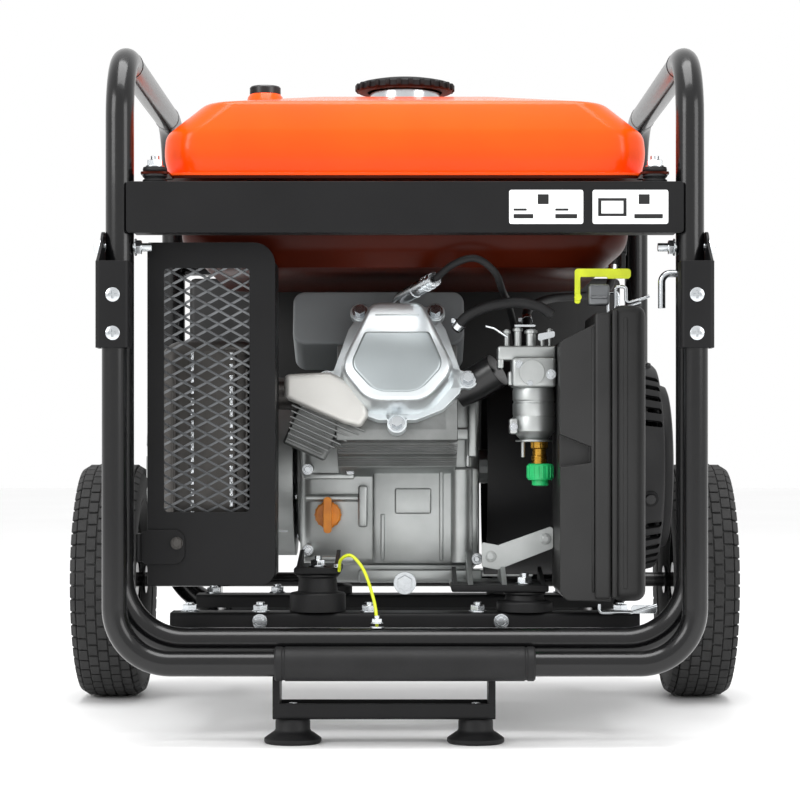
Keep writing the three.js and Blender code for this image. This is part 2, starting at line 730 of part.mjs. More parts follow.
function lockPin() {
  const tip = LEG_X + TUBE_R - 0.8;
  const heel = LEG_X - TUBE_R - 12.5;
  const corners = [at(tip, 0, 0), at(heel, 0, 0), at(heel, 0, -PIN_TAIL)];
  return bentTube(corners, PIN_R, 6, 10, 4);
}

function buildHandle() {
  place('handle_tube', handleTube(), BLACK_PAINT, [0, HANDLE_Y, 0]);
  place('handle_grip', handleGrip(), RUBBER, [0, HANDLE_Y, HANDLE_LOW]);
  place('handle_bracket_left', handleBracket(-1), BLACK_PAINT, [0, FRONT_Y, PIVOT_Z]);
  place('handle_bracket_right', handleBracket(1), BLACK_PAINT, [0, FRONT_Y, PIVOT_Z]);
  place('lock_pin', lockPin(), STEEL, [0, FRONT_Y, LOCK_Z]);
}

// ---------------------------------------------------------------- fuel tank
// Convex form through rounded oblongs, each given as [half width, half depth, height].
function domed(levels) {
  const points = [];
  for (const [halfX, halfY, z] of levels) {
    const outline = roundedRectangle(-halfX, halfX, -halfY, halfY, TANK_CORNER);
    points.push(...outline.getPoints(4).map(({ x, y }) => [x, y, z]));
  }
  return geometryOf(wasm.Manifold.hull(points));
}

// The upper form, or the space inside it when a wall is taken off.
function tankDome(wall) {
  const [hx, hy, rim] = [TANK_HALF_X - wall, TANK_HALF_Y - wall, TANK_FLANGE_Z];
  return domed([
    [hx - 5, hy - 4, rim - wall],
    [hx, hy, rim + TANK_BULGE],
    [hx - 2, hy - 1, rim + TANK_SHOULDER],
    [hx - TANK_BROW_IN_X, hy - TANK_BROW_IN_Y, rim + TANK_BROW - wall],
    [CREST_HALF_X - wall, CREST_HALF_Y - wall, TANK_TOP - 1 - wall],
  ]);
}

function tankRim(z0, z1) {
  const [halfX, halfY] = [TANK_HALF_X + 8, TANK_HALF_Y + 10];
  return prism(roundedRectangle(-halfX, halfX, -halfY, halfY, 30), 'xy', z0, z1);
}

function tankEars(z0, z1) {
  const earY = -CROSSBAR_FACE - CROSSBAR_FLANGE + EAR_BOLT_IN;
  const ears = [];
  for (const sideX of [-1, 1]) {
    for (const sideY of [-1, 1]) {
      const x = sideX * TANK_BOLT_X;
      const [y0, y1] = [sideY * (TANK_HALF_Y - 6), sideY * (earY + 8)].sort((a, b) => a - b);
      ears.push(prism(roundedRectangle(x - EAR_HALF, x + EAR_HALF, y0, y1, 5), 'xy', z0, z1, 3));
    }
  }
  return ears;
}

function tankUpperShell() {
  const rimLow = TANK_FLANGE_Z + GAP / 2;
  const rimPlate = tankRim(rimLow, rimLow + TANK_RIM);
  const neck = rod(at(0, 0, TANK_TOP - 8), at(0, 0, NECK_TOP), NECK_R, 24);
  const [foot, step] = [TANK_TOP - 2, TANK_TOP + 6];
  const collar = turned([[0, foot], [NECK_COLLAR_R, foot], [NECK_COLLAR_R - 12, step], [0, step]], 'z');
  const neckBore = rod(at(0, 0, TANK_TOP - 20), at(0, 0, NECK_TOP + 5), NECK_R - NECK_WALL, 24);
  const waste = block(-BEYOND, BEYOND, -BEYOND, BEYOND, 0, rimLow);
  return carve([tankDome(0), rimPlate, neck, collar], [tankDome(TANK_WALL), neckBore, waste]);
}

function tankLowerShell() {
  const [hx, hy, wall] = [TANK_LOWER_HALF_X, TANK_LOWER_HALF_Y, TANK_WALL];
  const mirrorZ = 2 * TANK_FLANGE_Z - TANK_LOW;
  const outer = softBlock(-hx, hx, -hy, hy, TANK_LOW, mirrorZ, TANK_ROUND);
  const inner = softBlock(
    -hx + wall, hx - wall, -hy + wall, hy - wall, TANK_LOW + wall, mirrorZ - wall, TANK_ROUND - wall,
  );
  const rimTop = TANK_FLANGE_Z - GAP / 2;
  const rimPlate = tankRim(rimTop - TANK_RIM, rimTop);
  const tap = rod(at(hx - 4, TAP_Y, TAP_Z), at(TAP_FACE, TAP_Y, TAP_Z), TAP_R, 12);
  const waste = block(-BEYOND, BEYOND, -BEYOND, BEYOND, rimTop, BEYOND);
  return carve([outer, rimPlate, tap, ...tankEars(rimTop - TANK_RIM, rimTop)], [inner, waste]);
}

function fuelTapLever() {
  const hub = rod(at(0, 0, 0), at(7, 0, 0), 8, 12);
  const arm = block(1, 6, -4, 4, -30, 0);
  return carve([hub, arm]);
}

function fuelCap() {
  const skirt = TANK_TOP + 8;
  const lid = NECK_TOP + 1;
  const inner = NECK_R + 2;
  const profile = [
    [inner, skirt], [CAP_R - 3, skirt], [CAP_R, skirt + 3], [CAP_R, CAP_TOP - 7],
    [CAP_R - 6, CAP_TOP - 2], [CAP_R - 22, CAP_TOP], [0, CAP_TOP], [0, lid], [inner, lid], [inner, skirt],
  ];
  return turned(profile, 'z', 28);
}

function buildTank() {
  place('tank_upper_shell', tankUpperShell(), ORANGE_PAINT);
  place('tank_lower_shell', tankLowerShell(), ORANGE_PAINT);
  place('fuel_cap', fuelCap(), PLASTIC);
  place('fuel_tap_lever', fuelTapLever(), PLASTIC, [TAP_FACE + GAP, TAP_Y, TAP_Z]);
}

// ---------------------------------------------------------------- engine
const tilted = new THREE.Group();
tilted.position.set(CYLINDER_X, CRANK_Y, CRANK_Z);
tilted.rotation.x = -radians(CYLINDER_TILT);
generator.add(tilted);
tilted.updateMatrix();

const intoEngine = (geometry) => geometry.applyMatrix4(tilted.matrix);

function crankcase() {
  const body = softBlock(CASE_LEFT, CASE_RIGHT, CASE_FRONT, CASE_REAR, CASE_FLOOR, CASE_TOP, 14, 1);
  const sump = block(CASE_LEFT + 6, CASE_RIGHT - 6, CASE_FRONT + 4, CASE_REAR - 6, CASE_FOOT, CASE_FLOOR + 20);
  const [cx, cz] = [CYLINDER_HALF_X, CYLINDER_HALF_Z];
  const deck = intoEngine(block(-cx, cx, -DECK_OUT + GAP, -60, -cz, cz));
  const front = intoEngine(block(-cx - 20, cx + 20, -BEYOND, -DECK_OUT + GAP, -cz - 8, cz + 60));
  const hollow = rod(at(CASE_LEFT + 14, CRANK_Y, CRANK_Z), at(CASE_RIGHT - 14, CRANK_Y, CRANK_Z), CASE_HOLLOW_R, 24);
  const boreR = boreRadius(CRANK_R, 0.5, 16);
  const bore = rod(at(CASE_LEFT - 5, CRANK_Y, CRANK_Z), at(CASE_RIGHT + 5, CRANK_Y, CRANK_Z), boreR, 16);
  const dipHole = rod(at(DIP_X, CASE_FRONT - 5, DIP_Z), at(DIP_X, CRANK_Y, DIP_Z), 7, 12);
  const lugs = Object.values(MOUNTS).map(({ x, y, top }) => {
    const left = x < 0 ? x - LUG_HALF_X : Math.min(x - LUG_HALF_X, CASE_RIGHT - 30);
    const [y0, y1] = y < 0 ? [y - LUG_HALF_Y, CASE_FRONT + 12] : [CASE_REAR - 40, y + LUG_HALF_Y];
    return block(left, x + LUG_HALF_X, y0, y1, top, top + LUG_THICK);
  });
  return carve([body, sump, deck, ...lugs], [front, hollow, bore, dipHole]);
}

function dipstick() {
  const face = CASE_FRONT - GAP;
  const cap = rod(at(0, face, 0), at(0, face - DIP_CAP_TALL, 0), DIP_CAP_R, 16);
  const wing = block(-4, 4, face - 20, face - DIP_CAP_TALL + 1, -DIP_WING, DIP_WING);
  const blade = rod(at(0, face - 1, 0), at(0, face + 34, 0), DIP_BLADE_R, 8);
  return carve([cap, wing, blade]);
}

function cylinderBarrel() {
  const [hx, hz] = [CYLINDER_HALF_X, CYLINDER_HALF_Z];
  const core = block(-hx + 8, hx - 8, -HEAD_AT + GAP, -DECK_OUT, -hz + 8, hz - 8);
  const fins = [];
  for (let y = -HEAD_AT + GAP; y < -DECK_OUT - 3; y += 7) {
    fins.push(block(-hx, hx, y, y + 3, -hz, hz));
  }
  return carve([core, ...fins]);
}

function cylinderHead() {
  const [hx, hz] = [CYLINDER_HALF_X, CYLINDER_HALF_Z];
  const core = block(-hx + 6, hx - 6, -COVER_AT + GAP, -HEAD_AT, -hz + 4, hz);
  const deck = block(-hx, hx, -HEAD_AT - 8, -HEAD_AT, -hz, hz);
  const rocker = block(-hx, hx, -COVER_AT + GAP, -COVER_AT + 8, -hz, hz);
  const fins = [];
  for (let y = -HEAD_AT - 16; y > -COVER_AT + 14; y -= 8) {
    fins.push(block(-hx, hx, y, y + 3, -hz, hz));
  }
  return carve([core, deck, rocker, ...fins]);
}

// Domed cover: a wide lower arc, a narrow crown, and a bolt ear at each corner and below.
function valveCover() {
  const ears = [[-36, 58], [37, 58], [-67, -13], [68, -13], [0, -59]];
  const outline = polygon([
    [-27, 54], [27, 54], [44, 22], [58, 0], [60, -14], [50, -34], [30, -48], [0, -53], [-30, -48], [-50, -34],
    [-60, -14], [-58, 0], [-44, 22],
  ]);
  const body = prism(outline, 'xz', -COVER_LONG, 0);
  const flange = ears.map(([x, z]) => rod(at(x, -9, z), at(x, 0, z), 9, 12));
  const spokes = ears.map(([x, z]) => {
    const inner = at(x * 0.7, -4.5, z * 0.7);
    const spoke = prism(rectangle(-8, 8, 0, inner.distanceTo(at(x, -4.5, z))), 'xz', -9, 0);
    spoke.rotateY(Math.atan2(x - inner.x, z - inner.z));
    return spoke.translate(inner.x, 0, inner.z);
  });
  return carve([body, ...flange, ...spokes]);
}

function coolingShroud() {
  const plan = roundedRectangle(-103, 66, 0, 58, 12);
  return prism(plan, 'xz', -HEAD_AT - 10, -DECK_OUT + 30, 4);
}

function sparkPlugBoot() {
  const corners = [at(-8, -112, 376), at(-8, -112, 414), at(28, -190, 430)];
  return bentTube(corners, 7.5, 18, 10, 4);
}

const routed = (route, radius, steps) => smoothTube(route.map((p) => at(...p)), radius, steps);

function crankshaft() {
  const flywheelX = 96;
  const shaft = rod(at(STATOR_END + 6, 0, 0), at(flywheelX + 30, 0, 0), CRANK_R);
  const webs = [-46, 2].map((x) => rod(at(x, 0, -8), at(x + 18, 0, -8), 52, 20));
  const crankPin = rod(at(-30, 0, 30), at(4, 0, 30), 17, 16);
  const notch = rod(at(-28, 0, 0), at(2, 0, 0), 40, 20);
  const wheel = turned([
    [0, flywheelX], [FLYWHEEL_R, flywheelX], [FLYWHEEL_R, flywheelX + 22], [60, flywheelX + 22],
    [40, flywheelX + 14], [0, flywheelX + 14],
  ], 'x', 28);
  const vanes = [];
  for (let i = 0; i < 12; i++) {
    vanes.push(block(flywheelX + 20, flywheelX + 44, -2, 2, 62, 88).rotateX((i / 12) * 2 * Math.PI));
  }
  let body = solid(shaft).subtract(solid(notch));
  for (const piece of [...webs, crankPin, wheel, ...vanes]) {
    body = body.add(solid(piece));
  }
  return geometryOf(body);
}

function alternatorRotor() {
  const bore = boreRadius(CRANK_R, GAP, 24);
  return turned(ring(bore, ROTOR_R, STATOR_END + 26, STATOR_RIGHT - 14), 'x', 24);
}

function alternatorHousing() {
  const seat = boreRadius(CRANK_R, 0.5, 28);
  const profile = [
    [STATOR_BORE, STATOR_RIGHT], [STATOR_R, STATOR_RIGHT], [STATOR_R, STATOR_END + 22], [STATOR_R - 20, STATOR_END],
    [seat, STATOR_END], [seat, STATOR_END + 8], [STATOR_BORE, STATOR_END + 14], [STATOR_BORE, STATOR_RIGHT],
  ];
  return turned(profile, 'x', 28);
}

function recoilHousing() {
  const profile = [
    [0, RECOIL_END], [RECOIL_R - 4, RECOIL_END], [RECOIL_R, RECOIL_END - 4], [RECOIL_R, FAN_STEP + 4],
    [FAN_R - 8, FAN_STEP], [FAN_R, FAN_STEP - FAN_TAPER], [FAN_R, FAN_LEFT], [FAN_R - SHELL, FAN_LEFT],
    [FAN_R - SHELL, FAN_STEP - FAN_TAPER], [FAN_R - 8 - SHELL, FAN_STEP - SHELL], [RECOIL_R - SHELL, FAN_STEP + 1],
    [RECOIL_R - SHELL, RECOIL_END - SHELL - 2], [0, RECOIL_END - SHELL],
  ];
  const ropeHole = rod(at(ROPE_X, 20, ROPE_LIFT), at(ROPE_X, FAN_R + 5, ROPE_LIFT), boreRadius(ROPE_R, 0.8, 10), 10);
  return carve([turned(profile, 'x', 32)], [ropeHole]);
}

function recoilGrip() {
  const rope = rod(at(0, -40, 0), at(0, FAN_R + 10, 0), ROPE_R, 10);
  const bar = softBlock(-11, 11, FAN_R + 2, FAN_R + 24, -46, 46, 9, 2);
  return carve([rope, bar]);
}

// Throat, base flange, float bowl and the fuel cut-off under the bowl.
function carburettor() {
  const throat = rod(at(CARB_X, CARB_FRONT, CARB_Z), at(CARB_X, CARB_REAR, CARB_Z), THROAT_R, 16);
  const flange = block(CARB_X - 32, CARB_X + 23, CARB_REAR - 12, CARB_REAR, CARB_Z - 29, CARB_Z + 29);
  const top = block(CARB_X - 26, CARB_X + 20, BOWL_Y - 14, CARB_REAR - 12, CARB_Z + 7, CARB_Z + 47);
  const upright = (x, low, high, radius, sides) => rod(at(x, BOWL_Y, low), at(x, BOWL_Y, high), radius, sides);
  const bowl = upright(BOWL_X, BOWL_LOW, CARB_Z + 7, BOWL_R, 16);
  const stem = upright(CUT_OFF_X, CUT_OFF_LOW + 18, BOWL_LOW + 2, CUT_OFF_R, 12);
  const cap = upright(CUT_OFF_X, CUT_OFF_LOW, CUT_OFF_LOW + 19, CUT_OFF_CAP_R, 12);
  return carve([throat, flange, top, bowl, stem, cap]);
}

function filterCase() {
  const w = FILTER_WALL;
  const body = softBlock(FILTER_LEFT, FILTER_SPLIT + 20, FILTER_FRONT, FILTER_REAR, FILTER_LOW, FILTER_TOP, 9, 1);
  const pocket = block(
    FILTER_LEFT + w, FILTER_SPLIT + 30, FILTER_FRONT + w, FILTER_REAR - w,
    FILTER_LOW + w + FILTER_LIP, FILTER_TOP - w - 5,
  );
  const waste = block(FILTER_SPLIT - GAP / 2, BEYOND, -BEYOND, 0, 0, BEYOND);
  return carve([body], [pocket, waste]);
}

function filterLid() {
  const body = softBlock(FILTER_SPLIT - 30, FILTER_RIGHT, FILTER_FRONT, FILTER_REAR, FILTER_LOW, FILTER_TOP, 12);
  const pocket = block(
    FILTER_SPLIT - 40, FILTER_RIGHT - FILTER_WALL - 4, FILTER_FRONT + 10, FILTER_REAR - 10,
    FILTER_LOW + 12, FILTER_TOP - 12,
  );
  const waste = block(0, FILTER_SPLIT + GAP / 2, -BEYOND, 0, 0, BEYOND);
  return carve([body], [pocket, waste]);
}

function filterElement() {
  const inset = FILTER_WALL + GAP + 0.5;
  return block(
    FILTER_LEFT + inset + 4, FILTER_SPLIT - 4, FILTER_FRONT + inset, FILTER_REAR - inset,
    FILTER_LOW + FILTER_LIP + inset, FILTER_TOP - 5 - inset,
  );
}

function filterBail() {
  const corners = [at(0, 0, 0), at(0, 0, -8), at(30, 0, -8), at(54, 0, -1)];
  return bentTube(corners, BAIL_R, 3.5, 8, 3);
}

function filterStrap() {
  const [start, end, bend] = [CASE_RIGHT + GAP, FILTER_LEFT - GAP, CASE_RIGHT + 16];
  const outline = polygon([[start, 156], [bend, 153], [end, 174], [end, 196], [bend, 177], [start, 180]]);
  return prism(outline, 'xz', STRAP_FRONT, STRAP_FRONT + STRAP_THICK);
}

function chokeLever() {
  const leg = block(-3.2, 3.2, -1.5, 1.5, -6, 24);
  const arm = block(-3.2, 49.6, -1.5, 1.5, 20, 28);
  return carve([leg, arm]);
}

function muffler() {
  return softBlock(
    MUFFLER_LEFT, MUFFLER_RIGHT, MUFFLER_FRONT, MUFFLER_FRONT + MUFFLER_DEEP, MUFFLER_LOW, MUFFLER_TOP, MUFFLER_ROUND,
  );
}

function exhaustPipe() {
  const end = MUFFLER_RIGHT + GAP + 0.1;
  const corners = [PIPE_START, (PIPE_START + end) / 2, end].map((x) => at(x, PIPE_Y, PIPE_Z));
  return bentTube(corners, PIPE_R, 10, 14, 1);
}

function mufflerGuard() {
  const [back, round] = [GUARD_FRONT + GUARD_SHEET, GUARD_CORNER];
  const face = new THREE.Shape();
  face.moveTo(GUARD_LEFT, GUARD_LOW);
  face.lineTo(GUARD_RIGHT, GUARD_LOW);
  face.absarc(GUARD_RIGHT - round, GUARD_TOP - round, round, 0, Math.PI / 2, false);
  face.lineTo(GUARD_LEFT, GUARD_TOP);
  const front = prism(face, 'xz', GUARD_FRONT, back);
  const cheekTop = GUARD_TOP - round - 2;
  const cheek = block(GUARD_RIGHT - GUARD_SHEET, GUARD_RIGHT, back - 1, GUARD_FRONT + GUARD_CHEEK, GUARD_LOW, cheekTop);
  const legSide = LEG_X - TUBE_R - 0.6;
  const tabOutline = roundedRectangle(-legSide, GUARD_TAB_END, GUARD_TAB_LOW, GUARD_TAB_TOP, 12);
  const tab = prism(tabOutline, 'xz', GUARD_FRONT - 3, GUARD_FRONT + 0.5);
  const arm = block(-legSide, 4 - legSide, FRONT_Y, GUARD_FRONT + 0.5, GUARD_TAB_LOW + 2, GUARD_TAB_TOP - 2);
  return carve([front, cheek, tab, arm]);
}

function buildEngine() {
  place('crankcase', crankcase(), CAST);
  place('cylinder_barrel', cylinderBarrel(), CAST, [0, 0, 0], tilted);
  place('cylinder_head', cylinderHead(), CAST, [0, 0, 0], tilted);
  place('valve_cover', valveCover(), BRIGHT_CAST, [0, -COVER_AT, COVER_LIFT], tilted);
  place('cooling_shroud', coolingShroud(), GREY_PLASTIC, [0, 0, CYLINDER_HALF_Z + SHROUD_LIFT], tilted);
  place('dipstick', dipstick(), ORANGE_PLASTIC, [DIP_X, 0, DIP_Z]);
  place('spark_plug_boot', sparkPlugBoot(), STEEL);
  place('ignition_lead', routed(LEAD_ROUTE, 3.5, 22), RUBBER);
  place('breather_hose', routed(BREATHER_ROUTE, 5.2, 16), RUBBER);
  place('fuel_hose', routed(FUEL_ROUTE, 4.5, 20), RUBBER);
  place('earth_wire', routed(EARTH_ROUTE, 1.6, 26), YELLOW_WIRE);
  place('carburettor', carburettor(), CAST);
  place('crankshaft', crankshaft(), STEEL, [0, CRANK_Y, CRANK_Z]);
  place('alternator_rotor', alternatorRotor(), STEEL, [0, CRANK_Y, CRANK_Z]);
  place('alternator_housing', alternatorHousing(), CAST, [0, CRANK_Y, CRANK_Z]);
  place('recoil_housing', recoilHousing(), PLASTIC, [0, CRANK_Y, CRANK_Z]);
  place('recoil_grip', recoilGrip(), PLASTIC, [ROPE_X, CRANK_Y, CRANK_Z + ROPE_LIFT]);
}

function buildAirAndExhaust() {
  place('air_filter_case', filterCase(), PLASTIC);
  place('air_filter_element', filterElement(), FOAM);
  place('air_filter_lid', filterLid(), PLASTIC);
  place('filter_bail', filterBail(), STEEL, [BAIL_X, BAIL_Y, FILTER_LOW - BAIL_R - 2 * GAP]);
  place('filter_strap', filterStrap(), STEEL);
  place('choke_lever', chokeLever(), YELLOW_WIRE, [CHOKE_X, CHOKE_Y, CHOKE_Z]);
  place('muffler', muffler(), STEEL);
  place('exhaust_pipe', exhaustPipe(), STEEL);
  place('muffler_guard', mufflerGuard(), BLACK_PAINT);
}

// ---------------------------------------------------------------- control panel
// A box with a wing to each rear leg above the hands' reach of the starter rope.
function controlPanel() {
  const back = PANEL_FACE - PANEL_DEEP;
  const body = softBlock(-PANEL_HALF, PANEL_HALF, back, PANEL_FACE, PANEL_LOW, PANEL_TOP - 1, 8);
  const wings = softBlock(-PANEL_WING, PANEL_WING, back, PANEL_FACE - 3, PANEL_WING_LOW, PANEL_TOP, 6);
  const [wellEnd, mouth] = [PANEL_FACE - WELL_DEEP, PANEL_FACE + 5];
  const switchWell = block(
    SWITCH_X - SWITCH_HALF_X, SWITCH_X + SWITCH_HALF_X, wellEnd, mouth,
    SWITCH_Z - SWITCH_HALF_Z, SWITCH_Z + SWITCH_HALF_Z,
  );
  const buttonWell = rod(at(BUTTON_X, wellEnd, SWITCH_Z), at(BUTTON_X, mouth, SWITCH_Z), BUTTON_BORE, 16);
  return carve([body, wings], [switchWell, buttonWell]);
}

// Rocker with its "off" half pressed in, turning about a pin across the well.
function engineSwitch() {
  const rocker = polygon([[-7, -10], [0, -12], [1.5, -3], [4.5, 12.5], [-1, 13], [-8, 4]]);
  return prism(rocker, 'yz', -10, 10);
}

function breakerButton() {
  return turned([[0, -8], [6, -8], [6, 4], [5, 5.5], [0, 5.5]], 'y', 16);
}

function buildPanel() {
  place('control_panel', controlPanel(), PLASTIC);
  place('engine_switch', engineSwitch(), PLASTIC, [SWITCH_X, PANEL_FACE - 3, SWITCH_Z]);
  place('breaker_button', breakerButton(), PLASTIC, [BUTTON_X, PANEL_FACE, SWITCH_Z]);
}

buildFrame();
buildRunningGear();
buildHandle();
buildTank();
buildEngine();
buildAirAndExhaust();
buildPanel();

export default generator;
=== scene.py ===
"""Open-frame portable generator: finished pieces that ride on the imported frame."""
import math

import bmesh
import bpy
from mathutils import Matrix, Vector


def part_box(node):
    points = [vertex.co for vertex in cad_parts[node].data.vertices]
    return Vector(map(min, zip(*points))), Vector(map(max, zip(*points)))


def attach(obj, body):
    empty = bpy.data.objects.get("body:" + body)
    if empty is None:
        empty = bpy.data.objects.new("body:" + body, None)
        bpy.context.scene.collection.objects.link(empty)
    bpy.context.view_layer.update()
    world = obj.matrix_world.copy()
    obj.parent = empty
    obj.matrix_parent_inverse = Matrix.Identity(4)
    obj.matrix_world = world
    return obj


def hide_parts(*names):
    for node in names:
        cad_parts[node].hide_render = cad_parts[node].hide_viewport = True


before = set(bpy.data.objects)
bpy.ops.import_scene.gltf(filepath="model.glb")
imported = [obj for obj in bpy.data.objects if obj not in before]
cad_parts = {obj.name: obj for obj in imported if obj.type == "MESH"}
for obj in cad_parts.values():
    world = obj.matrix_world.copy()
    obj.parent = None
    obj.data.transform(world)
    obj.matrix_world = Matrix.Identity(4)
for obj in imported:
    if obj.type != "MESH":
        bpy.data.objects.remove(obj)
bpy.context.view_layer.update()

SCENE = bpy.context.scene
MM = 0.001
X, Y, Z = Vector((1, 0, 0)), Vector((0, 1, 0)), Vector((0, 0, 1))
SIDES = (-1, 1)

# ---------------------------------------------------------------- sizes, in millimetres, as packed
FRAME_Y = 250
LEG_X = 261.5
RAIL_Z = 634
SKID_Z = 93
TUBE_R = 13
TUBE_BEND = 60
TOP_REACH = 74
HANDLE_X = 262
HANDLE_Y = -285
HANDLE_LOW = 76
PIVOT_Z = 455
AXLE_Y = 173.7
AXLE_Z = 127
WHEEL_X = 318
CRANK = Vector((0, 30, 252))
TANK_RIM_Z = 524
BASE_RAIL_X = 205
TANK_EAR_X = 229
TREAD_BLOCKS = 54
HANDLE_WEB_Y = -298.6
TILT = Matrix.Translation((-7.5, 30, 252)) @ Matrix.Rotation(math.radians(-22), 4, "X")


# ---------------------------------------------------------------- camera, light and floor
CAMERA_AWAY = 2.396
CAMERA_UP = 0.269


def place_camera():
    """Stands level with the middle of the machine, square to the handle side."""
    data = bpy.data.cameras.new("camera")
    data.sensor_width = 36
    data.lens = 105.26
    data.shift_x = -0.0061
    data.shift_y = 0.0625
    camera = bpy.data.objects.new("camera", data)
    camera.location = (0, -CAMERA_AWAY, CAMERA_UP)
    camera.rotation_euler = (math.radians(90), 0, 0)
    SCENE.collection.objects.link(camera)
    SCENE.camera = camera


def soft_box(name, location, target, size, power):
    """Large square studio light turned to face a point."""
    data = bpy.data.lights.new(name, "AREA")
    data.size = size
    data.energy = power
    lamp = bpy.data.objects.new(name, data)
    lamp.location = location
    lamp.rotation_euler = (Vector(target) - Vector(location)).to_track_quat("-Z", "Y").to_euler()
    SCENE.collection.objects.link(lamp)


# ---------------------------------------------------------------- finishes
def linear(code):
    """An sRGB hex colour as linear light."""
    shares = [int(code[i:i + 2], 16) / 255 for i in (1, 3, 5)]
    return (*[c / 12.92 if c <= 0.04045 else ((c + 0.055) / 1.055) ** 2.4 for c in shares], 1.0)


def add_node(tree, kind, settings=None, links=None):
    """Adds one node, sets its sockets and options, and joins the sockets that another node feeds."""
    node = tree.nodes.new(kind)
    for name, value in (settings or {}).items():
        if name in node.inputs:
            node.inputs[name].default_value = value
        else:
            setattr(node, name, value)
    for name, source in (links or {}).items():
        tree.links.new(source, node.inputs[name])
    return node


def finish(name, slot, shades, rough, mottle=60.0, grain=1.0, depth=0.02, stretch=(1, 1, 1), **surface):
    """A surface whose shade drifts over `mottle` mm and whose grain is `grain` mm wide and `depth` deep."""
    material = bpy.data.materials.new(name)
    material.use_nodes = True
    tree = material.node_tree
    tree.nodes.clear()
    place = add_node(tree, "ShaderNodeTexCoord").outputs["Object"]
    drawn = add_node(tree, "ShaderNodeMapping", {"Scale": stretch}, {"Vector": place}).outputs["Vector"]
    drift = add_node(tree, "ShaderNodeTexNoise", {"Scale": 1 / (mottle * MM), "Detail": 3.0},
                     {"Vector": place})
    fine = add_node(tree, "ShaderNodeTexNoise", {"Scale": 1 / (grain * MM), "Detail": 2.0}, {"Vector": drawn})
    shade = add_node(tree, "ShaderNodeValToRGB", None, {"Fac": drift.outputs["Fac"]})
    shade.color_ramp.elements[0].position = 0.3
    shade.color_ramp.elements[0].color = linear(shades[0])
    shade.color_ramp.elements[1].position = 0.7
    shade.color_ramp.elements[1].color = linear(shades[1])
    sheen = {"From Min": 0.3, "From Max": 0.7, "To Min": rough[0], "To Max": rough[1]}
    gloss = add_node(tree, "ShaderNodeMapRange", sheen, {"Value": fine.outputs["Fac"]})
    relief = {"Strength": 1.0, "Distance": depth * MM}
    bump = add_node(tree, "ShaderNodeBump", relief, {"Height": fine.outputs["Fac"]})
    feeds = {"Base Color": shade.outputs["Color"], "Roughness": gloss.outputs["Result"],
             "Normal": bump.outputs["Normal"]}
    shader = add_node(tree, "ShaderNodeBsdfPrincipled", surface, feeds)
    add_node(tree, "ShaderNodeOutputMaterial", None, {"Surface": shader.outputs["BSDF"]})
    return material, slot


# Polyester powder baked on steel tube: near black, half gloss, with a faint orange peel.
POWDER_COAT = finish("powder_coated_steel", "frame_paint", ("#070708", "#0b0b0c"), (0.2, 0.27), grain=2.2,
                     depth=0.008, **{"Specular IOR Level": 0.32, "Coat Weight": 0.2, "Coat Roughness": 0.06})
# Folded plate with a flatter black powder: broad soft greys where light grazes it.
SATIN_POWDER = finish("satin_powder_coated_plate", "frame_paint", ("#101011", "#141415"), (0.42, 0.52),
                      grain=1.6, depth=0.012, **{"Specular IOR Level": 0.2})
# Stoved orange enamel under a clear coat: deep even colour with sharp soft-box reflections.
ORANGE_ENAMEL = finish("stoved_orange_enamel", "tank_paint", ("#f04a02", "#f65404"), (0.22, 0.27),
                       mottle=140, grain=3, depth=0.004, **{"Specular IOR Level": 0.2, "Coat Weight": 0.14,
                                                            "Coat Roughness": 0.05})
# The same orange enamel on the lower pan, painted a deep red-brown as painted shade for the dark under the
# tank.
SHADED_ENAMEL = finish("orange_enamel_painted_shade", "tank_paint", ("#330b02", "#451203"), (0.3, 0.36),
                     mottle=160, grain=3, depth=0.004, **{"Specular IOR Level": 0.1})
# Pressure die-cast aluminium, as cast: pale grey, slightly cloudy, with a fine pitted skin.
DIE_CAST = finish("die_cast_aluminium", "cast_aluminium", ("#a9acab", "#bdc0bf"), (0.38, 0.48), mottle=46,
                  grain=1.1, depth=0.02, Metallic=1.0)
# The same casting, painted darker as painted shade for the parts deep in the machine, and duller, never
# machined.
SHADED_ROUGH_CAST = finish("rough_aluminium_painted_shade", "cast_aluminium", ("#7d7f7e", "#959796"), (0.5, 0.6),
                    mottle=40, grain=0.9, depth=0.03, Metallic=1.0)
# Tumbled and lacquered rocker cover: bright, with broad smooth highlights.
BRIGHT_CAST = finish("tumbled_aluminium", "bright_aluminium", ("#dde3e5", "#e6ebed"), (0.3, 0.36),
                     mottle=90, grain=2.5, depth=0.003, Metallic=0.82)
# The sunk panel of the rocker cover: the same aluminium painted a shade greyer than the dome round it, as
# painted shade on its flat face, and a little rougher.
SHADED_PANEL_CAST = finish("rocker_panel_painted_shade", "bright_aluminium", ("#a2a9ab", "#aeb5b7"), (0.34, 0.42), mottle=90,
                    grain=2.5, depth=0.003, Metallic=0.85)
# Fresh casting with a warm, almost cream skin: the port cover beside the barrel.
PALE_CAST = finish("pale_sand_casting", "cast_aluminium", ("#c3c2be", "#d0cfcb"), (0.42, 0.5), mottle=60,
                   grain=1.2, depth=0.008, Metallic=0.6)
# Zinc plate on screws, pins and wire: cool, bright, and a little uneven.
ZINC = finish("zinc_plated_steel", "steel", ("#c3c7ca", "#d0d4d7"), (0.17, 0.24), mottle=60, grain=2.0,
              depth=0.002, Metallic=1.0)
# Rolled aluminised steel of the silencer, dulled by heat.
EXHAUST_STEEL = finish("aluminised_exhaust_steel", "exhaust_steel", ("#4b4947", "#5f5d5b"), (0.42, 0.54),
                       mottle=60, grain=0.9, depth=0.008, stretch=(1, 1, 0.08), Metallic=1.0)
# Expanded steel of the guard's window, thinly coated: the strands stand out pale against the dark behind.
MESH_STEEL = finish("thinly_coated_expanded_steel", "frame_paint", ("#5b5d5f", "#707274"), (0.36, 0.46),
                    mottle=40, grain=1.0, depth=0.004, Metallic=0.7)
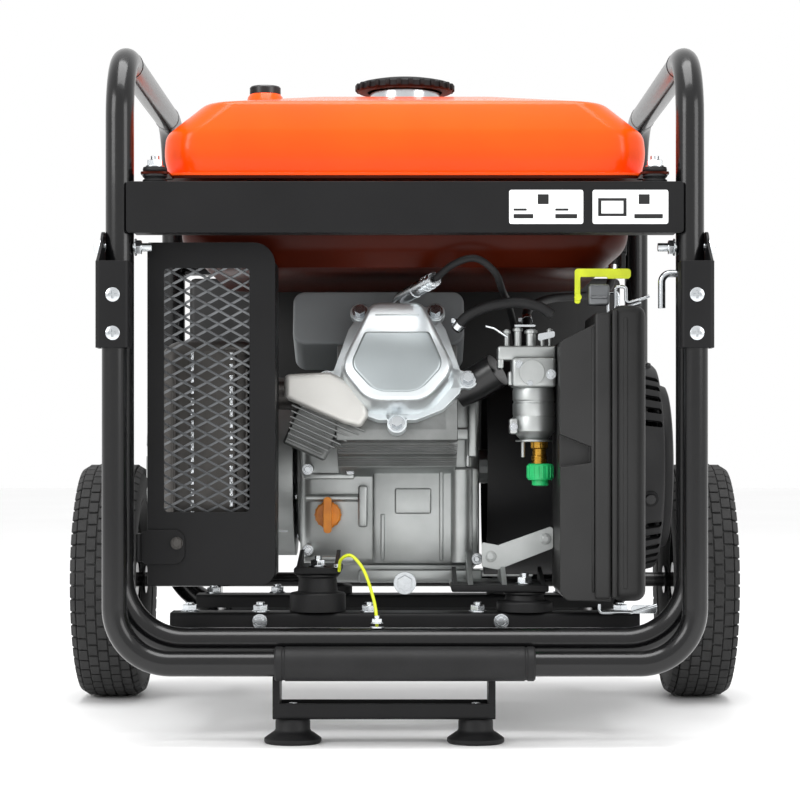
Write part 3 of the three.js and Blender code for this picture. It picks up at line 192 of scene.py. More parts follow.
# Turned brass: warm yellow, with fine rings left by the tool.
BRASS = finish("turned_brass", "steel", ("#a97c2b", "#c79a44"), (0.22, 0.34), mottle=8, grain=0.6,
               depth=0.02, stretch=(0.1, 0.1, 1), Metallic=1.0)
# Vulcanised rubber of mounts, feet, grip and hoses: soft black with a dull sheen.
RUBBER = finish("vulcanised_rubber", "rubber", ("#0e0e0f", "#161617"), (0.5, 0.62), mottle=30, grain=1.4,
                depth=0.012, **{"Specular IOR Level": 0.3})
# Tyre rubber, greyer from carbon and dust, without shine.
TYRE_RUBBER = finish("tyre_rubber", "tyre", ("#202020", "#2a2a2a"), (0.7, 0.84), mottle=30, grain=1.8,
                     depth=0.03)
# Injection-moulded ABS with a spark-eroded texture: half-matt black.
BLACK_ABS = finish("textured_black_abs", "black_plastic", ("#232323", "#292929"), (0.42, 0.5), mottle=60,
                   grain=1.2, depth=0.01, **{"Specular IOR Level": 0.3})
# Matt polypropylene of the fan cover, blacker than the filter beside it.
MATT_BLACK = finish("matt_black_polypropylene", "black_plastic", ("#101011", "#151516"), (0.46, 0.54),
                    mottle=60, grain=1.3, depth=0.008, **{"Specular IOR Level": 0.22})
# Nylon switchgear and caps: smoother and blacker than the housings.
BLACK_NYLON = finish("moulded_black_nylon", "black_plastic", ("#0c0c0d", "#121213"), (0.28, 0.36),
                     mottle=40, grain=1.5, depth=0.004)
# Silver-grey paint on the pressed cooling shroud: soft metallic grey.
SILVER_PAINT = finish("silver_painted_sheet", "grey_shroud", ("#85898b", "#8f9395"), (0.4, 0.48), mottle=90,
                      grain=0.9, depth=0.003, **{"Specular IOR Level": 0.4})
# Translucent-looking orange nylon of the oil dipstick.
ORANGE_NYLON = finish("moulded_orange_nylon", "orange_plastic", ("#c9720c", "#e8921f"), (0.3, 0.4),
                      mottle=15, grain=1.2, depth=0.01)
# Yellow-green plastic of the choke lever and the earth lead.
YELLOW_GREEN = finish("yellow_green_plastic", "yellow_green", ("#bcc81a", "#d3df22"), (0.32, 0.42),
                      mottle=20, grain=1.0, depth=0.01)
# Green moulded cap under the float bowl.
GREEN_NYLON = finish("moulded_green_nylon", "yellow_green", ("#15a95c", "#27c473"), (0.3, 0.4), mottle=12,
                     grain=1.0, depth=0.01)
# White polyester plate, faintly glossy.
WHITE_FILM = finish("white_polyester_plate", "grey_shroud", ("#e6e7e8", "#f1f2f2"), (0.3, 0.36), mottle=30,
                    grain=1.0, depth=0.004)
# Open-cell foam of the filter: matt dark grey with visible pores.
FOAM = finish("open_cell_foam", "filter_foam", ("#232427", "#3d3f43"), (0.9, 1.0), mottle=3, grain=2.0,
              depth=0.8)
# Clear lens over a dial, dark behind it.
LENS = finish("smoked_lens", "black_plastic", ("#060607", "#0a0a0b"), (0.05, 0.08), mottle=40, grain=2,
              depth=0.0, **{"Coat Weight": 1.0, "Coat Roughness": 0.03})


# ---------------------------------------------------------------- shapes
def since(bm, before):
    """The vertices added since the set `before` was taken."""
    return [vert for vert in bm.verts if vert not in before]


def facing(axis):
    """The turn that points +Z along an axis."""
    return Z.rotation_difference(Vector(axis)).to_matrix().to_4x4()


def block(bm, low, high, rounding=0.0, segments=2):
    """Rectangular block between two corners, its edges rounded."""
    low, high = Vector(low), Vector(high)
    before = set(bm.verts)
    size = Matrix.Diagonal((*(high - low), 1))
    bmesh.ops.create_cube(bm, size=1.0, matrix=Matrix.Translation((low + high) / 2) @ size)
    if rounding:
        edges = {edge for vert in since(bm, before) for edge in vert.link_edges}
        bmesh.ops.bevel(bm, geom=list(edges), offset=rounding, offset_type="OFFSET", segments=segments,
                        profile=0.5, affect="EDGES", material=-1, clamp_overlap=True)
    return since(bm, before)


def rod(bm, start, end, radius, sides=24, end_radius=None):
    """Round bar, or a cone, between two points."""
    start, end = Vector(start), Vector(end)
    before = set(bm.verts)
    matrix = Matrix.Translation((start + end) / 2) @ facing((end - start).normalized())
    bmesh.ops.create_cone(bm, cap_ends=True, segments=sides, radius1=radius,
                          radius2=radius if end_radius is None else end_radius, depth=(end - start).length,
                          matrix=matrix)
    return since(bm, before)


def lathe(bm, profile, centre=(0, 0, 0), axis=Z, steps=48):
    """A profile of (radius, height) pairs spun about an axis."""
    before = set(bm.verts)
    points = [bm.verts.new((radius, 0, height)) for radius, height in profile]
    edges = [bm.edges.new(pair) for pair in zip(points, points[1:])]
    bmesh.ops.spin(bm, geom=points + edges, cent=(0, 0, 0), axis=Z, angle=math.tau, steps=steps,
                   use_merge=True, use_normal_flip=False, use_duplicate=False)
    made = since(bm, before)
    bmesh.ops.transform(bm, matrix=Matrix.Translation(centre) @ facing(axis), verts=made)
    bmesh.ops.remove_doubles(bm, verts=made, dist=0.001)
    return since(bm, before)


def rounded(corners, radius, closed=False, steps=6):
    """Corner points turned into true arcs, with one radius or a radius for each corner."""
    corners = [Vector(corner) for corner in corners]
    radii = radius if isinstance(radius, (list, tuple)) else [radius] * len(corners)
    points = []
    for i, (corner, bend) in enumerate(zip(corners, radii)):
        if bend == 0 or (not closed and i in (0, len(corners) - 1)):
            points.append(corner)
            continue
        before = (corners[i - 1] - corner).normalized()
        after = (corners[(i + 1) % len(corners)] - corner).normalized()
        half = before.angle(after) / 2
        centre = corner + (before + after).normalized() * (bend / math.sin(half))
        reach = bend / math.tan(half)
        start, stop = corner + before * reach - centre, corner + after * reach - centre
        points += [centre + start.slerp(stop, k / steps) * bend for k in range(steps + 1)]
    return points


def flowing(route, steps=6):
    """A smooth run through every point of a route."""
    points = [Vector(point) for point in route]
    ends = [points[0] * 2 - points[1], *points, points[-1] * 2 - points[-2]]
    run = []
    for a, b, c, d in zip(ends, ends[1:], ends[2:], ends[3:]):
        for k in range(steps):
            t = k / steps
            run.append(0.5 * (2 * b + (c - a) * t + (2 * a - 5 * b + 4 * c - d) * t ** 2
                              + (3 * b - a - 3 * c + d) * t ** 3))
    return [*run, points[-1]]


def sweep(bm, points, radius, sides=20):
    """Round bar, wire or hose: a circle at the first point, extruded on to each next one."""
    before = set(bm.verts)
    heading = (points[1] - points[0]).normalized()
    matrix = Matrix.Translation(points[0]) @ facing(heading)
    ring = bmesh.ops.create_circle(bm, cap_ends=True, radius=radius, segments=sides, matrix=matrix)["verts"]
    edges = list({edge for vert in ring for edge in vert.link_edges})
    for i in range(1, len(points)):
        grown = bmesh.ops.extrude_edge_only(bm, edges=edges)["geom"]
        verts = [item for item in grown if isinstance(item, bmesh.types.BMVert)]
        found = set(verts)
        edges = [item for item in grown if isinstance(item,
                                                      bmesh.types.BMEdge) and found.issuperset(item.verts)]
        step = points[i] - points[i - 1]
        following = points[i + 1] - points[i] if i + 1 < len(points) else step
        ahead = (step.normalized() + following.normalized()).normalized()
        bmesh.ops.rotate(bm, verts=verts, cent=points[i - 1],
                         matrix=heading.rotation_difference(ahead).to_matrix())
        bmesh.ops.translate(bm, verts=verts, vec=step)
        heading = ahead
    bmesh.ops.edgeloop_fill(bm, edges=edges)
    return since(bm, before)


PLANES = {"xz": (X, Z, Y), "yz": (Y, Z, X), "xy": (X, Y, Z)}


def plate(bm, outline, plane, start, end):
    """A flat outline given its thickness along the axis square to its plane."""
    across, up, through = PLANES[plane]
    before = set(bm.verts)
    corners = [bm.verts.new(across * a + up * b + through * start) for a, b in outline]
    face = bm.faces.new(corners)
    grown = bmesh.ops.extrude_face_region(bm, geom=[face], use_keep_orig=True)["geom"]
    verts = [item for item in grown if isinstance(item, bmesh.types.BMVert)]
    bmesh.ops.translate(bm, verts=verts, vec=through * (end - start))
    return since(bm, before)


def loft(bm, sections, floor=False, roof=True):
    """Closed outlines joined one to the next, the last one filled in."""
    before = set(bm.verts)
    loops = []
    for outline in sections:
        ring = [bm.verts.new(point) for point in outline]
        loops.append([bm.edges.new(pair) for pair in zip(ring, ring[1:] + ring[:1])])
    for lower, upper in zip(loops, loops[1:]):
        bmesh.ops.bridge_loops(bm, edges=lower + upper)
    for wanted, loop in ((floor, loops[0]), (roof, loops[-1])):
        if wanted:
            bmesh.ops.edgeloop_fill(bm, edges=loop)
    return since(bm, before)


def oblong(x0, x1, y0, y1, radius, steps=5):
    """Outline of a rectangle with round corners."""
    return rounded([(x0, y0), (x1, y0), (x1, y1), (x0, y1)], radius, closed=True, steps=steps)


def drafted(outline, bends, middle, drafts):
    """Sections of a domed form: the outline drawn in towards its middle from one depth to the next."""
    ring = rounded([(x, 0, z) for x, z in outline], bends, closed=True, steps=8)
    return [[Vector((point.x * draft, y, middle + (point.z - middle) * draft)) for point in ring] for draft,
            y in drafts]


def folded(near, far, lip, web, sheet, bend, steps=5):
    """Outline of sheet folded into a channel, from its open lips to its web."""
    into = web + math.copysign(sheet, lip - web)
    return rounded([(near, lip), (near, web), (far, web), (far, lip), (far - sheet, lip),
                    (far - sheet, into), (near + sheet, into), (near + sheet, lip)],
                    [0, bend, bend, 0, 0, bend - sheet, bend - sheet, 0], closed=True, steps=steps)


def bolt(bm, seat, axis, size, washer=True, stud=0.0):
    """Hexagon head or nut on a washer, standing on `seat` and pointing along `axis`."""
    seat, axis = Vector(seat), Vector(axis)
    base = size * 0.18 if washer else 0
    if washer:
        rod(bm, seat, seat + axis * base, size * 1.08, 28)
    rod(bm, seat + axis * base, seat + axis * (base + size * 0.62), size * 0.96, 6)
    rod(bm, seat + axis * (base + size * 0.5), seat + axis * (base + size * 0.7), size * 0.72, 20, size * 0.6)
    if stud:
        rod(bm, seat, seat + axis * (base + size * 0.62 + stud), size * 0.5, 20)


def around(bm, verts, centre, axis, copies):
    """Copies of a shape set evenly round an axis."""
    found = set(verts)
    edges = {edge for vert in verts for edge in vert.link_edges}
    faces = {face for vert in verts for face in vert.link_faces if found.issuperset(face.verts)}
    bmesh.ops.spin(bm, geom=[*verts, *edges, *faces], cent=centre, axis=axis,
                   angle=math.tau * (copies - 1) / copies, steps=copies - 1, use_duplicate=True,
                   use_merge=False)


def as_object(bm, name):
    """A mesh object from a bmesh, with its faces turned outwards."""
    bmesh.ops.recalc_face_normals(bm, faces=bm.faces)
    mesh = bpy.data.meshes.new(name)
    bm.to_mesh(mesh)
    bm.free()
    made = bpy.data.objects.new(name, mesh)
    SCENE.collection.objects.link(made)
    return made


def carve(bm, cutter):
    """One bmesh less another."""
    body, tool = as_object(bm, "body"), as_object(cutter, "cutter")
    cut = body.modifiers.new("cut", "BOOLEAN")
    cut.operation, cut.solver, cut.object = "DIFFERENCE", "EXACT", tool
    cut.use_self = True
    bpy.context.view_layer.update()
    carved = bmesh.new()
    carved.from_mesh(body.evaluated_get(bpy.context.evaluated_depsgraph_get()).to_mesh())
    for spent in (body, tool):
        mesh = spent.data
        bpy.data.objects.remove(spent)
        bpy.data.meshes.remove(mesh)
    return carved


def make(name, bm, surface, body="frame", replaces=(), soften=0.5, segments=2, crease=34):
    """Finishes a piece: metres, smooth shading, softened edges, its surface, and the body it rides on."""
    bmesh.ops.scale(bm, vec=(MM, MM, MM), verts=bm.verts)
    piece = as_object(bm, f"{name}_body" if name in replaces else name)
    piece.data.shade_smooth()
    piece.data.set_sharp_from_angle(angle=math.radians(crease))
    material, slot = surface
    piece.data.materials.append(material)
    if soften:
        edge = piece.modifiers.new("edge", "BEVEL")
        edge.width, edge.segments = soften * MM, segments
        edge.limit_method, edge.angle_limit = "ANGLE", math.radians(crease)
        edge.harden_normals = True
    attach(piece, body)
    if replaces:
        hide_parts(*replaces)
    return piece


def renew(node, bm, surface, body="frame", **settings):
    """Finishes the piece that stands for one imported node."""
    return make(node, bm, surface, body, (node,), **settings)


def span(node):
    """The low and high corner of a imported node, in millimetres."""
    low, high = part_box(node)
    return Vector(low) / MM, Vector(high) / MM


# ---------------------------------------------------------------- frame
def hoop(side, name):
    bm = bmesh.new()
    y, inner = side * FRAME_Y, side * (FRAME_Y - TOP_REACH)
    corners = [(-LEG_X, inner, RAIL_Z), (-LEG_X, y, RAIL_Z), (-LEG_X, y, SKID_Z), (LEG_X, y, SKID_Z),
               (LEG_X, y, RAIL_Z), (LEG_X, inner, RAIL_Z)]
    sweep(bm, rounded(corners, TUBE_BEND, steps=16), TUBE_R, 36)
    renew(name, bm, POWDER_COAT, soften=0)


def rails():
    reach = FRAME_Y - TOP_REACH - 0.3
    for side, name in ((-1, "left_top_rail"), (1, "right_top_rail")):
        bm = bmesh.new()
        sweep(bm, [Vector((side * LEG_X, y, RAIL_Z)) for y in (-reach, 0, reach)], TUBE_R, 36)
        for end in SIDES:
            # The weld bead that closes the joint with the hoop.
            profile = [(TUBE_R - 1, -2.2), (TUBE_R + 0.4, -1.6), (TUBE_R + 0.5, 0), (TUBE_R + 0.3, 0.2),
                       (TUBE_R - 1, 0.2)]
            lathe(bm, profile + profile[:1], (side * LEG_X, end * reach, RAIL_Z), Y * end, 36)
        renew(name, bm, POWDER_COAT, soften=0)
    for side, name in ((-1, "left_base_rail"), (1, "right_base_rail")):
        low, high = span(name)
        bm = bmesh.new()
        middle = (low + high) / 2
        for end in SIDES:
            rod(bm, (middle.x, 0, middle.z), (middle.x, end * high.y, middle.z), 9.8, 32)
        renew(name, bm, POWDER_COAT, soften=0)


def crossbar(side, name):
    """Folded channel with rounded bends, its face outwards."""
    low, high = span(name)
    outer, inner = (low.y, high.y) if side < 0 else (high.y, low.y)
    foot, top, sheet, bend = low.z, low.z + 47, 3, 3.6
    into, web = -side * sheet, outer - side * 0.4
    section = rounded([(inner, foot), (web, foot), (web, top), (inner, top), (inner, top - sheet),
                       (web + into, top - sheet), (web + into, foot + sheet), (inner, foot + sheet)],
                       [0, bend, bend, 0, 0, bend - 2.6, bend - 2.6, 0], closed=True, steps=5)
    bm = bmesh.new()
    half = LEG_X - TUBE_R - 0.9
    plate(bm, section, "yz", -half, half)
    face = oblong(-high.x, high.x, foot + 0.1, top - 0.1, 3)
    plate(bm, face, "xz", *sorted((outer, outer + into)))
    renew(name, bm, SATIN_POWDER, soften=0.4)
    bushes = bmesh.new()
    for hand in SIDES:
        x, y = hand * TANK_EAR_X, side * (FRAME_Y + 11.8 - 22 + 12)
        profile = [(0, top), (11, top), (11.5, top + 2), (9.6, top + 3.6), (11.5, top + 5.4),
                   (11, top + 7.2), (0, top + 7.2)]
        lathe(bushes, profile, (x, y, 0), Z, 28)
        cap = TANK_RIM_Z
        profile = [(0, cap), (10.6, cap), (11.4, cap + 1.4), (10.8, cap + 4), (0, cap + 4)]
        lathe(bushes, profile, (x, y, 0), Z, 28)
    make(f"{name}_bushes", bushes, RUBBER, soften=0.3)
    studs = bmesh.new()
    for hand in SIDES:
        bolt(studs, (hand * TANK_EAR_X, side * (FRAME_Y + 1.8), TANK_RIM_Z + 4), Z, 8, stud=4)
    make(f"{name}_tank_nuts", studs, ZINC, soften=0.3)


def blank_label(name, x0, x1, z0, z1, marks):
    """White plate on the crossbar with plain printed shapes and no lettering."""
    face = span("front_crossbar")[0].y
    bm = bmesh.new()
    plate(bm, oblong(x0, x1, z0, z1, 2), "xz", face - 0.25, face - 0.02)
    make(f"{name}_plate", bm, WHITE_FILM, soften=0)
    bm = bmesh.new()
    for left, right, foot, top in marks:
        plate(bm, oblong(x0 + left, x0 + right, z0 + foot, z0 + top, 0.45, 3), "xz", face - 0.4, face - 0.2)
    make(f"{name}_marks", bm, BLACK_NYLON, soften=0)


def base():
    for name in ("front_base_channel", "rear_base_channel"):
        low, high = span(name)
        bm = bmesh.new()
        plate(bm, folded(low.y, high.y, low.z, high.z, 3, 4), "yz", low.x, high.x)
        renew(name, bm, SATIN_POWDER, soften=0.4)
    for place in ("front_left", "front_right", "rear_left", "rear_right"):
        name = f"engine_mount_{place}"
        low, high = span(name)
        x, y = (low.x + high.x) / 2, (low.y + high.y) / 2
        foot, head, waist = low.z, high.z, (low.z + high.z) / 2
        bm = bmesh.new()
        profile = [(0, foot), (26.6, foot), (26.6, waist - 1), (25.4, waist + 0.4), (19, waist + 1.6),
                   (18, head - 3), (20, head - 2), (20, head), (0, head)]
        lathe(bm, profile, (x, y, 0), Z, 40)
        renew(name, bm, RUBBER, soften=0.6)
    hardware = bmesh.new()
    low, high = span("front_base_channel")
    for x in (-137, -34, 69):
        bolt(hardware, (x, low.y + 12, high.z), Z, 8, stud=3)
    for x in (-137, 91):
        bolt(hardware, (x, low.y, high.z - 8), -Y, 6.5)
    low, high = span("rear_base_channel")
    for x in (-137, 168):
        bolt(hardware, (x, high.y - 12, high.z), Z, 8, stud=3)
    for side in SIDES:
        for name in ("front_base_channel", "rear_base_channel"):
            low, high = span(name)
            bolt(hardware, (side * BASE_RAIL_X, (low.y + high.y) / 2, high.z), Z, 8, stud=2)
    make("base_channel_bolts", hardware, ZINC, soften=0.3)


def running_gear():
    low, high = span("stand_bracket")
    y0, y1, foot, top = low.y, high.y, low.z, high.z
    bm = bmesh.new()
    plate(bm, folded(y0, y1, foot + 14.5, foot, 3, 4), "yz", low.x, high.x)
    for x in (low.x, high.x - 6.5):
        plate(bm, oblong(y0 + 0.2, y1 - 0.2, foot + 0.4, top, 2), "yz", x, x + 6.5)
    renew("stand_bracket", bm, SATIN_POWDER, soften=0.5)
    hardware = bmesh.new()
    for name in ("stand_foot_left", "stand_foot_right"):
        low, high = span(name)
        x, y = (low.x + high.x) / 2, (low.y + high.y) / 2
        bm = bmesh.new()
        profile = [(0, 0), (25, 0), (26.4, 1.6), (26.4, 4.4), (25, 5.6), (19.5, 9.5), (17, 11), (16, 13),
                   (16, 20), (15, high.z), (0, high.z)]
        lathe(bm, profile, (x, y, 0), Z, 44)
        renew(name, bm, RUBBER, soften=0.4)
        bolt(hardware, (x, y, high.z + 3.4), Z, 8, stud=4)
    make("foot_bolts", hardware, ZINC, soften=0.3)
    low, high = span("axle")
    bm = bmesh.new()
    rod(bm, (low.x, AXLE_Y, AXLE_Z), (high.x, AXLE_Y, AXLE_Z), 7.9, 28)
    for side in SIDES:
        x = side * BASE_RAIL_X
        lug = rounded([(AXLE_Y - 16, low.z), (AXLE_Y + 16, low.z), (AXLE_Y + 12, AXLE_Z + 12),
                       (AXLE_Y - 12, AXLE_Z + 12)], [0, 0, 10, 10], closed=True)
        plate(bm, lug, "yz", x - 4, x + 4)
        rod(bm, (side * 284, AXLE_Y, AXLE_Z), (side * 287, AXLE_Y, AXLE_Z), 15, 28)
    renew("axle", bm, POWDER_COAT, soften=0.4)
    for side, hand in ((-1, "left"), (1, "right")):
        wheel(side, hand)


def wheel(side, hand):
    """Block-treaded tyre on a pressed steel rim."""
    centre = Vector((side * WHEEL_X, AXLE_Y, AXLE_Z))
    base = 124.9
    bm = bmesh.new()
    profile = [(72, -22), (76, -27), (84, -30.5), (96, -33.6), (106, -33.8), (114, -32), (119.5, -28.5),
               (base - 0.6, -21), (base, -10), (base, 10), (base - 0.6, 21), (119.5, 28.5), (114, 32),
               (106, 33.8), (96, 33.6), (84, 30.5), (76, 27), (72, 22), (72, -22)]
    lathe(bm, profile, (0, 0, 0), X, 96)
    for x, wide, offset in ((-21.2, 9.4, 0), (-10.7, 9.4, 0.5), (0, 9.8, 0), (10.7, 9.4, 0.5),
                            (21.2, 9.4, 0)):
        drop = 0.9 if abs(x) > 20 else 0
        lug = block(bm, (x - wide / 2, -6.4, base - 2.5), (x + wide / 2, 6.4, 126.8 - drop), 0.6, 1)
        bmesh.ops.rotate(bm, verts=lug, cent=(0, 0, 0),
                         matrix=Matrix.Rotation(math.tau * offset / TREAD_BLOCKS, 3, "X"))
        around(bm, lug, (0, 0, 0), X, TREAD_BLOCKS)
    for flank in SIDES:
        lug = block(bm, (flank * 27.6 - 3.4, -6.0, 108), (flank * 27.6 + 3.4, 6.0, 123.4), 0.6, 1)
        bmesh.ops.rotate(bm, verts=lug, cent=(flank * 27.4, 0, 118),
                         matrix=Matrix.Rotation(math.radians(flank * 32), 3, "Y"))
        around(bm, lug, (0, 0, 0), X, TREAD_BLOCKS)
        for radius, width in ((88, 1.0), (103, 0.9)):
            at = flank * (31.4 if radius < 100 else 33.0)
            ring = [(radius - 1.4, at - flank), (radius - 0.8, at + flank * width),
                    (radius + 0.8, at + flank * width), (radius + 1.4, at - flank)]
            lathe(bm, ring, (0, 0, 0), X, 96)
    bmesh.ops.translate(bm, verts=bm.verts, vec=centre)
    renew(f"tyre_{hand}", bm, TYRE_RUBBER, f"wheel_{hand}", soften=0)
    bm = bmesh.new()
    profile = [(8.3, -24), (19, -24), (19, -4.6), (30, -5.2), (40, -3), (52, -7.5), (62, -9), (65.5, -9),
               (66, -20.6), (71.2, -21), (71.2, 21), (66, 20.6), (65.5, 0), (62, 0.6), (52, -2), (40, 2),
               (30, 0.6), (19, 1), (19, 24), (8.3, 24), (8.3, -24)]
    lathe(bm, profile, (0, 0, 0), X, 72)
    slot = block(bm, (-10.5, -4.5, 44), (2.2, 4.5, 58), 2, 2)
    around(bm, slot, (0, 0, 0), X, 8)
    rod(bm, (side * 2, 60, 18), (side * 16, 62, 18.6), 2.6, 12)
    bmesh.ops.translate(bm, verts=bm.verts, vec=centre)
    renew(f"rim_{hand}", bm, POWDER_COAT, f"wheel_{hand}", soften=0.4)
    bm = bmesh.new()
    outer = centre + X * side * 24.2
    rod(bm, outer, outer + X * side * 1.2, 13, 28)
    make(f"axle_washer_{hand}", bm, ZINC, soften=0.2)


# ---------------------------------------------------------------- folding handle
def handle():
    bm = bmesh.new()
    corners = [(-HANDLE_X, HANDLE_Y, 436), (-HANDLE_X, HANDLE_Y, HANDLE_LOW),
               (HANDLE_X, HANDLE_Y, HANDLE_LOW), (HANDLE_X, HANDLE_Y, 436)]
    sweep(bm, rounded(corners, 50, steps=16), 11.5, 36)
    renew("handle_tube", bm, POWDER_COAT, "handle", soften=0)
    bm = bmesh.new()
    profile = [(12.1, -117.5), (14.4, -117.5), (15.6, -116), (15.6, -111), (14.8, -110), (14.8, -108.6),
               (15.6, -107.6)]
    profile += [(15.6, 0)] + [(radius, -height) for radius, height in reversed(profile)]
    lathe(bm, profile + profile[:1], (0, HANDLE_Y, HANDLE_LOW), X, 48)
    for turn in range(24):
        rib = rod(bm, (-104, HANDLE_Y, HANDLE_LOW + 15.05), (104, HANDLE_Y, HANDLE_LOW + 15.05), 0.5, 6)
        bmesh.ops.rotate(bm, verts=rib, cent=(0, HANDLE_Y, HANDLE_LOW),
                         matrix=Matrix.Rotation(math.tau * turn / 24, 3, "X"))
    renew("handle_grip", bm, RUBBER, "handle", soften=0)
    screws = bmesh.new()
    recesses = bmesh.new()
    for side, hand in ((-1, "left"), (1, "right")):
        bracket(side, hand)
        for z in (408.5, 374):
            seat = (side * HANDLE_X, HANDLE_WEB_Y, z)
            lathe(screws, [(0, 0), (6.6, 0), (6.4, 0.7), (4.6, 1.5), (0, 1.9)], seat, -Y, 32)
            for turned in (0, 1):
                across, tall = (3.6, 0.9) if turned else (0.9, 3.6)
                block(recesses, (seat[0] - across, -300.6, z - tall), (seat[0] + across, -299, z + tall),
                      0.2, 1)
    make("handle_screws", carve(screws, recesses), ZINC, "handle", soften=0)


def bracket(side, hand):
    """Channel round the top of a handle leg, with the ear that turns on the pivot bolt."""
    web, sheet, inner, outer, back = HANDLE_WEB_Y, 2.2, 247.6, 278.1, -273.4
    channel = folded(inner, outer, back, web, sheet, 4.5, 6)
    bm = bmesh.new()
    plate(bm, [(side * x, y) for x, y in channel], "xy", 361, 439)
    y0, y1, pivot_y = web + 6, -272, -FRAME_Y
    reach = 34
    lobe = [(y0, 361), (y1, 361), (y1, PIVOT_Z - 46), (pivot_y, PIVOT_Z - reach)]
    lobe += [(pivot_y + reach * math.cos(a),
              PIVOT_Z + reach * math.sin(a)) for a in (math.radians(-90 + 7.5 * k) for k in range(1, 12))]
    lobe += rounded([(pivot_y + reach, PIVOT_Z - 6), (pivot_y + reach, PIVOT_Z + 12),
                     (pivot_y, PIVOT_Z + 14)], 9)[1:-1]
    lobe += [(pivot_y + 14 * math.cos(a),
              PIVOT_Z + 14 * math.sin(a)) for a in (math.radians(90 + 10 * k) for k in range(9))]
    lobe += [(y0, 439)]
    ear_in = side * 275.4
    plate(bm, lobe, "yz", *sorted((ear_in, ear_in + side * 2.4)))
    holes = bmesh.new()
    for y, z, radius in ((pivot_y, PIVOT_Z, 4.4), (pivot_y, PIVOT_Z - 24, 4.3), (pivot_y + 24, PIVOT_Z, 4.3)):
        rod(holes, (side * 270, y, z), (side * 283, y, z), radius, 24)
    renew(f"handle_bracket_{hand}", carve(bm, holes), SATIN_POWDER, "handle", soften=0.4)
    hardware = bmesh.new()
    rod(hardware, (side * 232, -FRAME_Y, PIVOT_Z), (side * 279, -FRAME_Y, PIVOT_Z), 3.9, 20)
    bolt(hardware, (side * 278.2, -FRAME_Y, PIVOT_Z), X * side, 7.4)
    bolt(hardware, (side * 247.6, -FRAME_Y, PIVOT_Z), -X * side, 7.4)
    make(f"pivot_bolt_{hand}", hardware, ZINC, soften=0.3)


def lock_pin():
    low, high = span("lock_pin")
    z = high.z - 3.6
    bm = bmesh.new()
    path = rounded([(high.x, -FRAME_Y, z), (low.x + 3.6, -FRAME_Y, z), (low.x + 3.6, -FRAME_Y, low.z)], 8,
                   steps=8)
    sweep(bm, path, 3.5, 24)
    renew("lock_pin", bm, ZINC, "lock_pin", soften=0.3)


# ---------------------------------------------------------------- fuel tank
def pressed_pan(bm, levels, corner):
    """Half of the tank: rounded oblongs of (half width, half depth, height) joined up its side."""
    sections = []
    for half_x, half_y, z in levels:
        outline = oblong(-half_x, half_x, -half_y, half_y, corner, 8)
        sections.append([Vector((x, y, z)) for x, y in outline])
    loft(bm, sections)


def tank():
    seam = TANK_RIM_Z
    bm = bmesh.new()
    side = [(223, 210, seam + 1), (228, 214, seam + 22), (226, 213, seam + 42), (190, 204, seam + 72),
            (112, 92, seam + 93)]
    pressed_pan(bm, rounded(side, [0, 40, 16, 12, 0], steps=6), 34)
    plate(bm, oblong(-236, 236, -224, 224, 34, 10), "xy", seam + 0.2, seam + 2.6)
    lathe(bm, [(60, seam + 91), (57, seam + 96), (48, seam + 98), (35, seam + 98)], (0, 0, 0), Z, 64)
    lathe(bm, [(20, seam + 80), (17, seam + 91), (14.6, seam + 94), (0, seam + 94)], (-137, -100, 0), Z, 40)
    renew("tank_upper_shell", bm, ORANGE_ENAMEL, soften=0.3)
    bm = bmesh.new()
    rod(bm, (0, 0, seam + 95), (0, 0, seam + 109.6), 35.4, 48)
    make("filler_neck", bm, ZINC, soften=0.4)
    bm = bmesh.new()
    side = [(214, 198, seam - 1), (213, 197, 462), (190, 172, 442.4)]
    pressed_pan(bm, rounded(side, [0, 24, 0], steps=8), 38)
    plate(bm, oblong(-236, 236, -224, 224, 34, 10), "xy", seam - 2.6, seam - 0.2)
    for side_x in SIDES:
        for side_y in SIDES:
            x, y = side_x * TANK_EAR_X, side_y * 251.8
            plate(bm, oblong(x - 13, x + 13, *sorted((side_y * 208, y + side_y * 8)), 6), "xy", seam - 2.6,
                  seam - 0.2)
    rod(bm, (206, 70, 482), (225.6, 70, 482), 9, 24)
    # The lower pan takes the darker enamel: painted shade under the tank.
    renew("tank_lower_shell", bm, SHADED_ENAMEL, soften=0.3)


def tank_fittings():
    low, high = span("fuel_cap")
    bm = bmesh.new()
    skirt, top = high.z - 12.5, high.z
    profile = [(38.2, skirt), (47.4, skirt), (48.6, skirt + 1.4), (48.6, top - 6), (46, top - 3.4),
               (40, top - 2), (37, top - 2.4), (33, top - 0.6), (14, top - 0.1), (0, top), (0, top - 3),
               (38.2, top - 4), (38.2, skirt)]
    lathe(bm, profile, (0, 0, 0), Z, 96)
    rib = block(bm, (46.5, -2.4, skirt + 1), (50.8, 2.4, top - 4.4), 1.1, 2)
    around(bm, rib, (0, 0, 0), Z, 26)
    renew("fuel_cap", bm, MATT_BLACK, "fuel_cap", soften=0.4)
    bm = bmesh.new()
    at = (-137, -100, 0)
    lathe(bm, [(0, 617.6), (15.2, 617.6), (15.2, 624), (14, 625.4), (12.6, 625.4), (12.6, 624.4),
               (0, 624.4)], at, Z, 48)
    make("fuel_gauge_ring", bm, BLACK_NYLON, soften=0.3)
    bm = bmesh.new()
    lathe(bm, [(12.4, 624.5), (10, 625.6), (0, 626.2)], at, Z, 40)
    make("fuel_gauge_lens", bm, LENS, soften=0)
    low, high = span("fuel_tap_lever")
    bm = bmesh.new()
    rod(bm, (low.x, 70, 482), (high.x, 70, 482), 7.8, 28)
    plate(bm, rounded([(65.6, 453), (74.4, 453), (75.4, 482), (64.6, 482)], [4, 4, 0, 0], closed=True),
          "yz", low.x + 1.2, high.x - 1.2)
    renew("fuel_tap_lever", bm, BLACK_NYLON, "fuel_tap", soften=0.5)


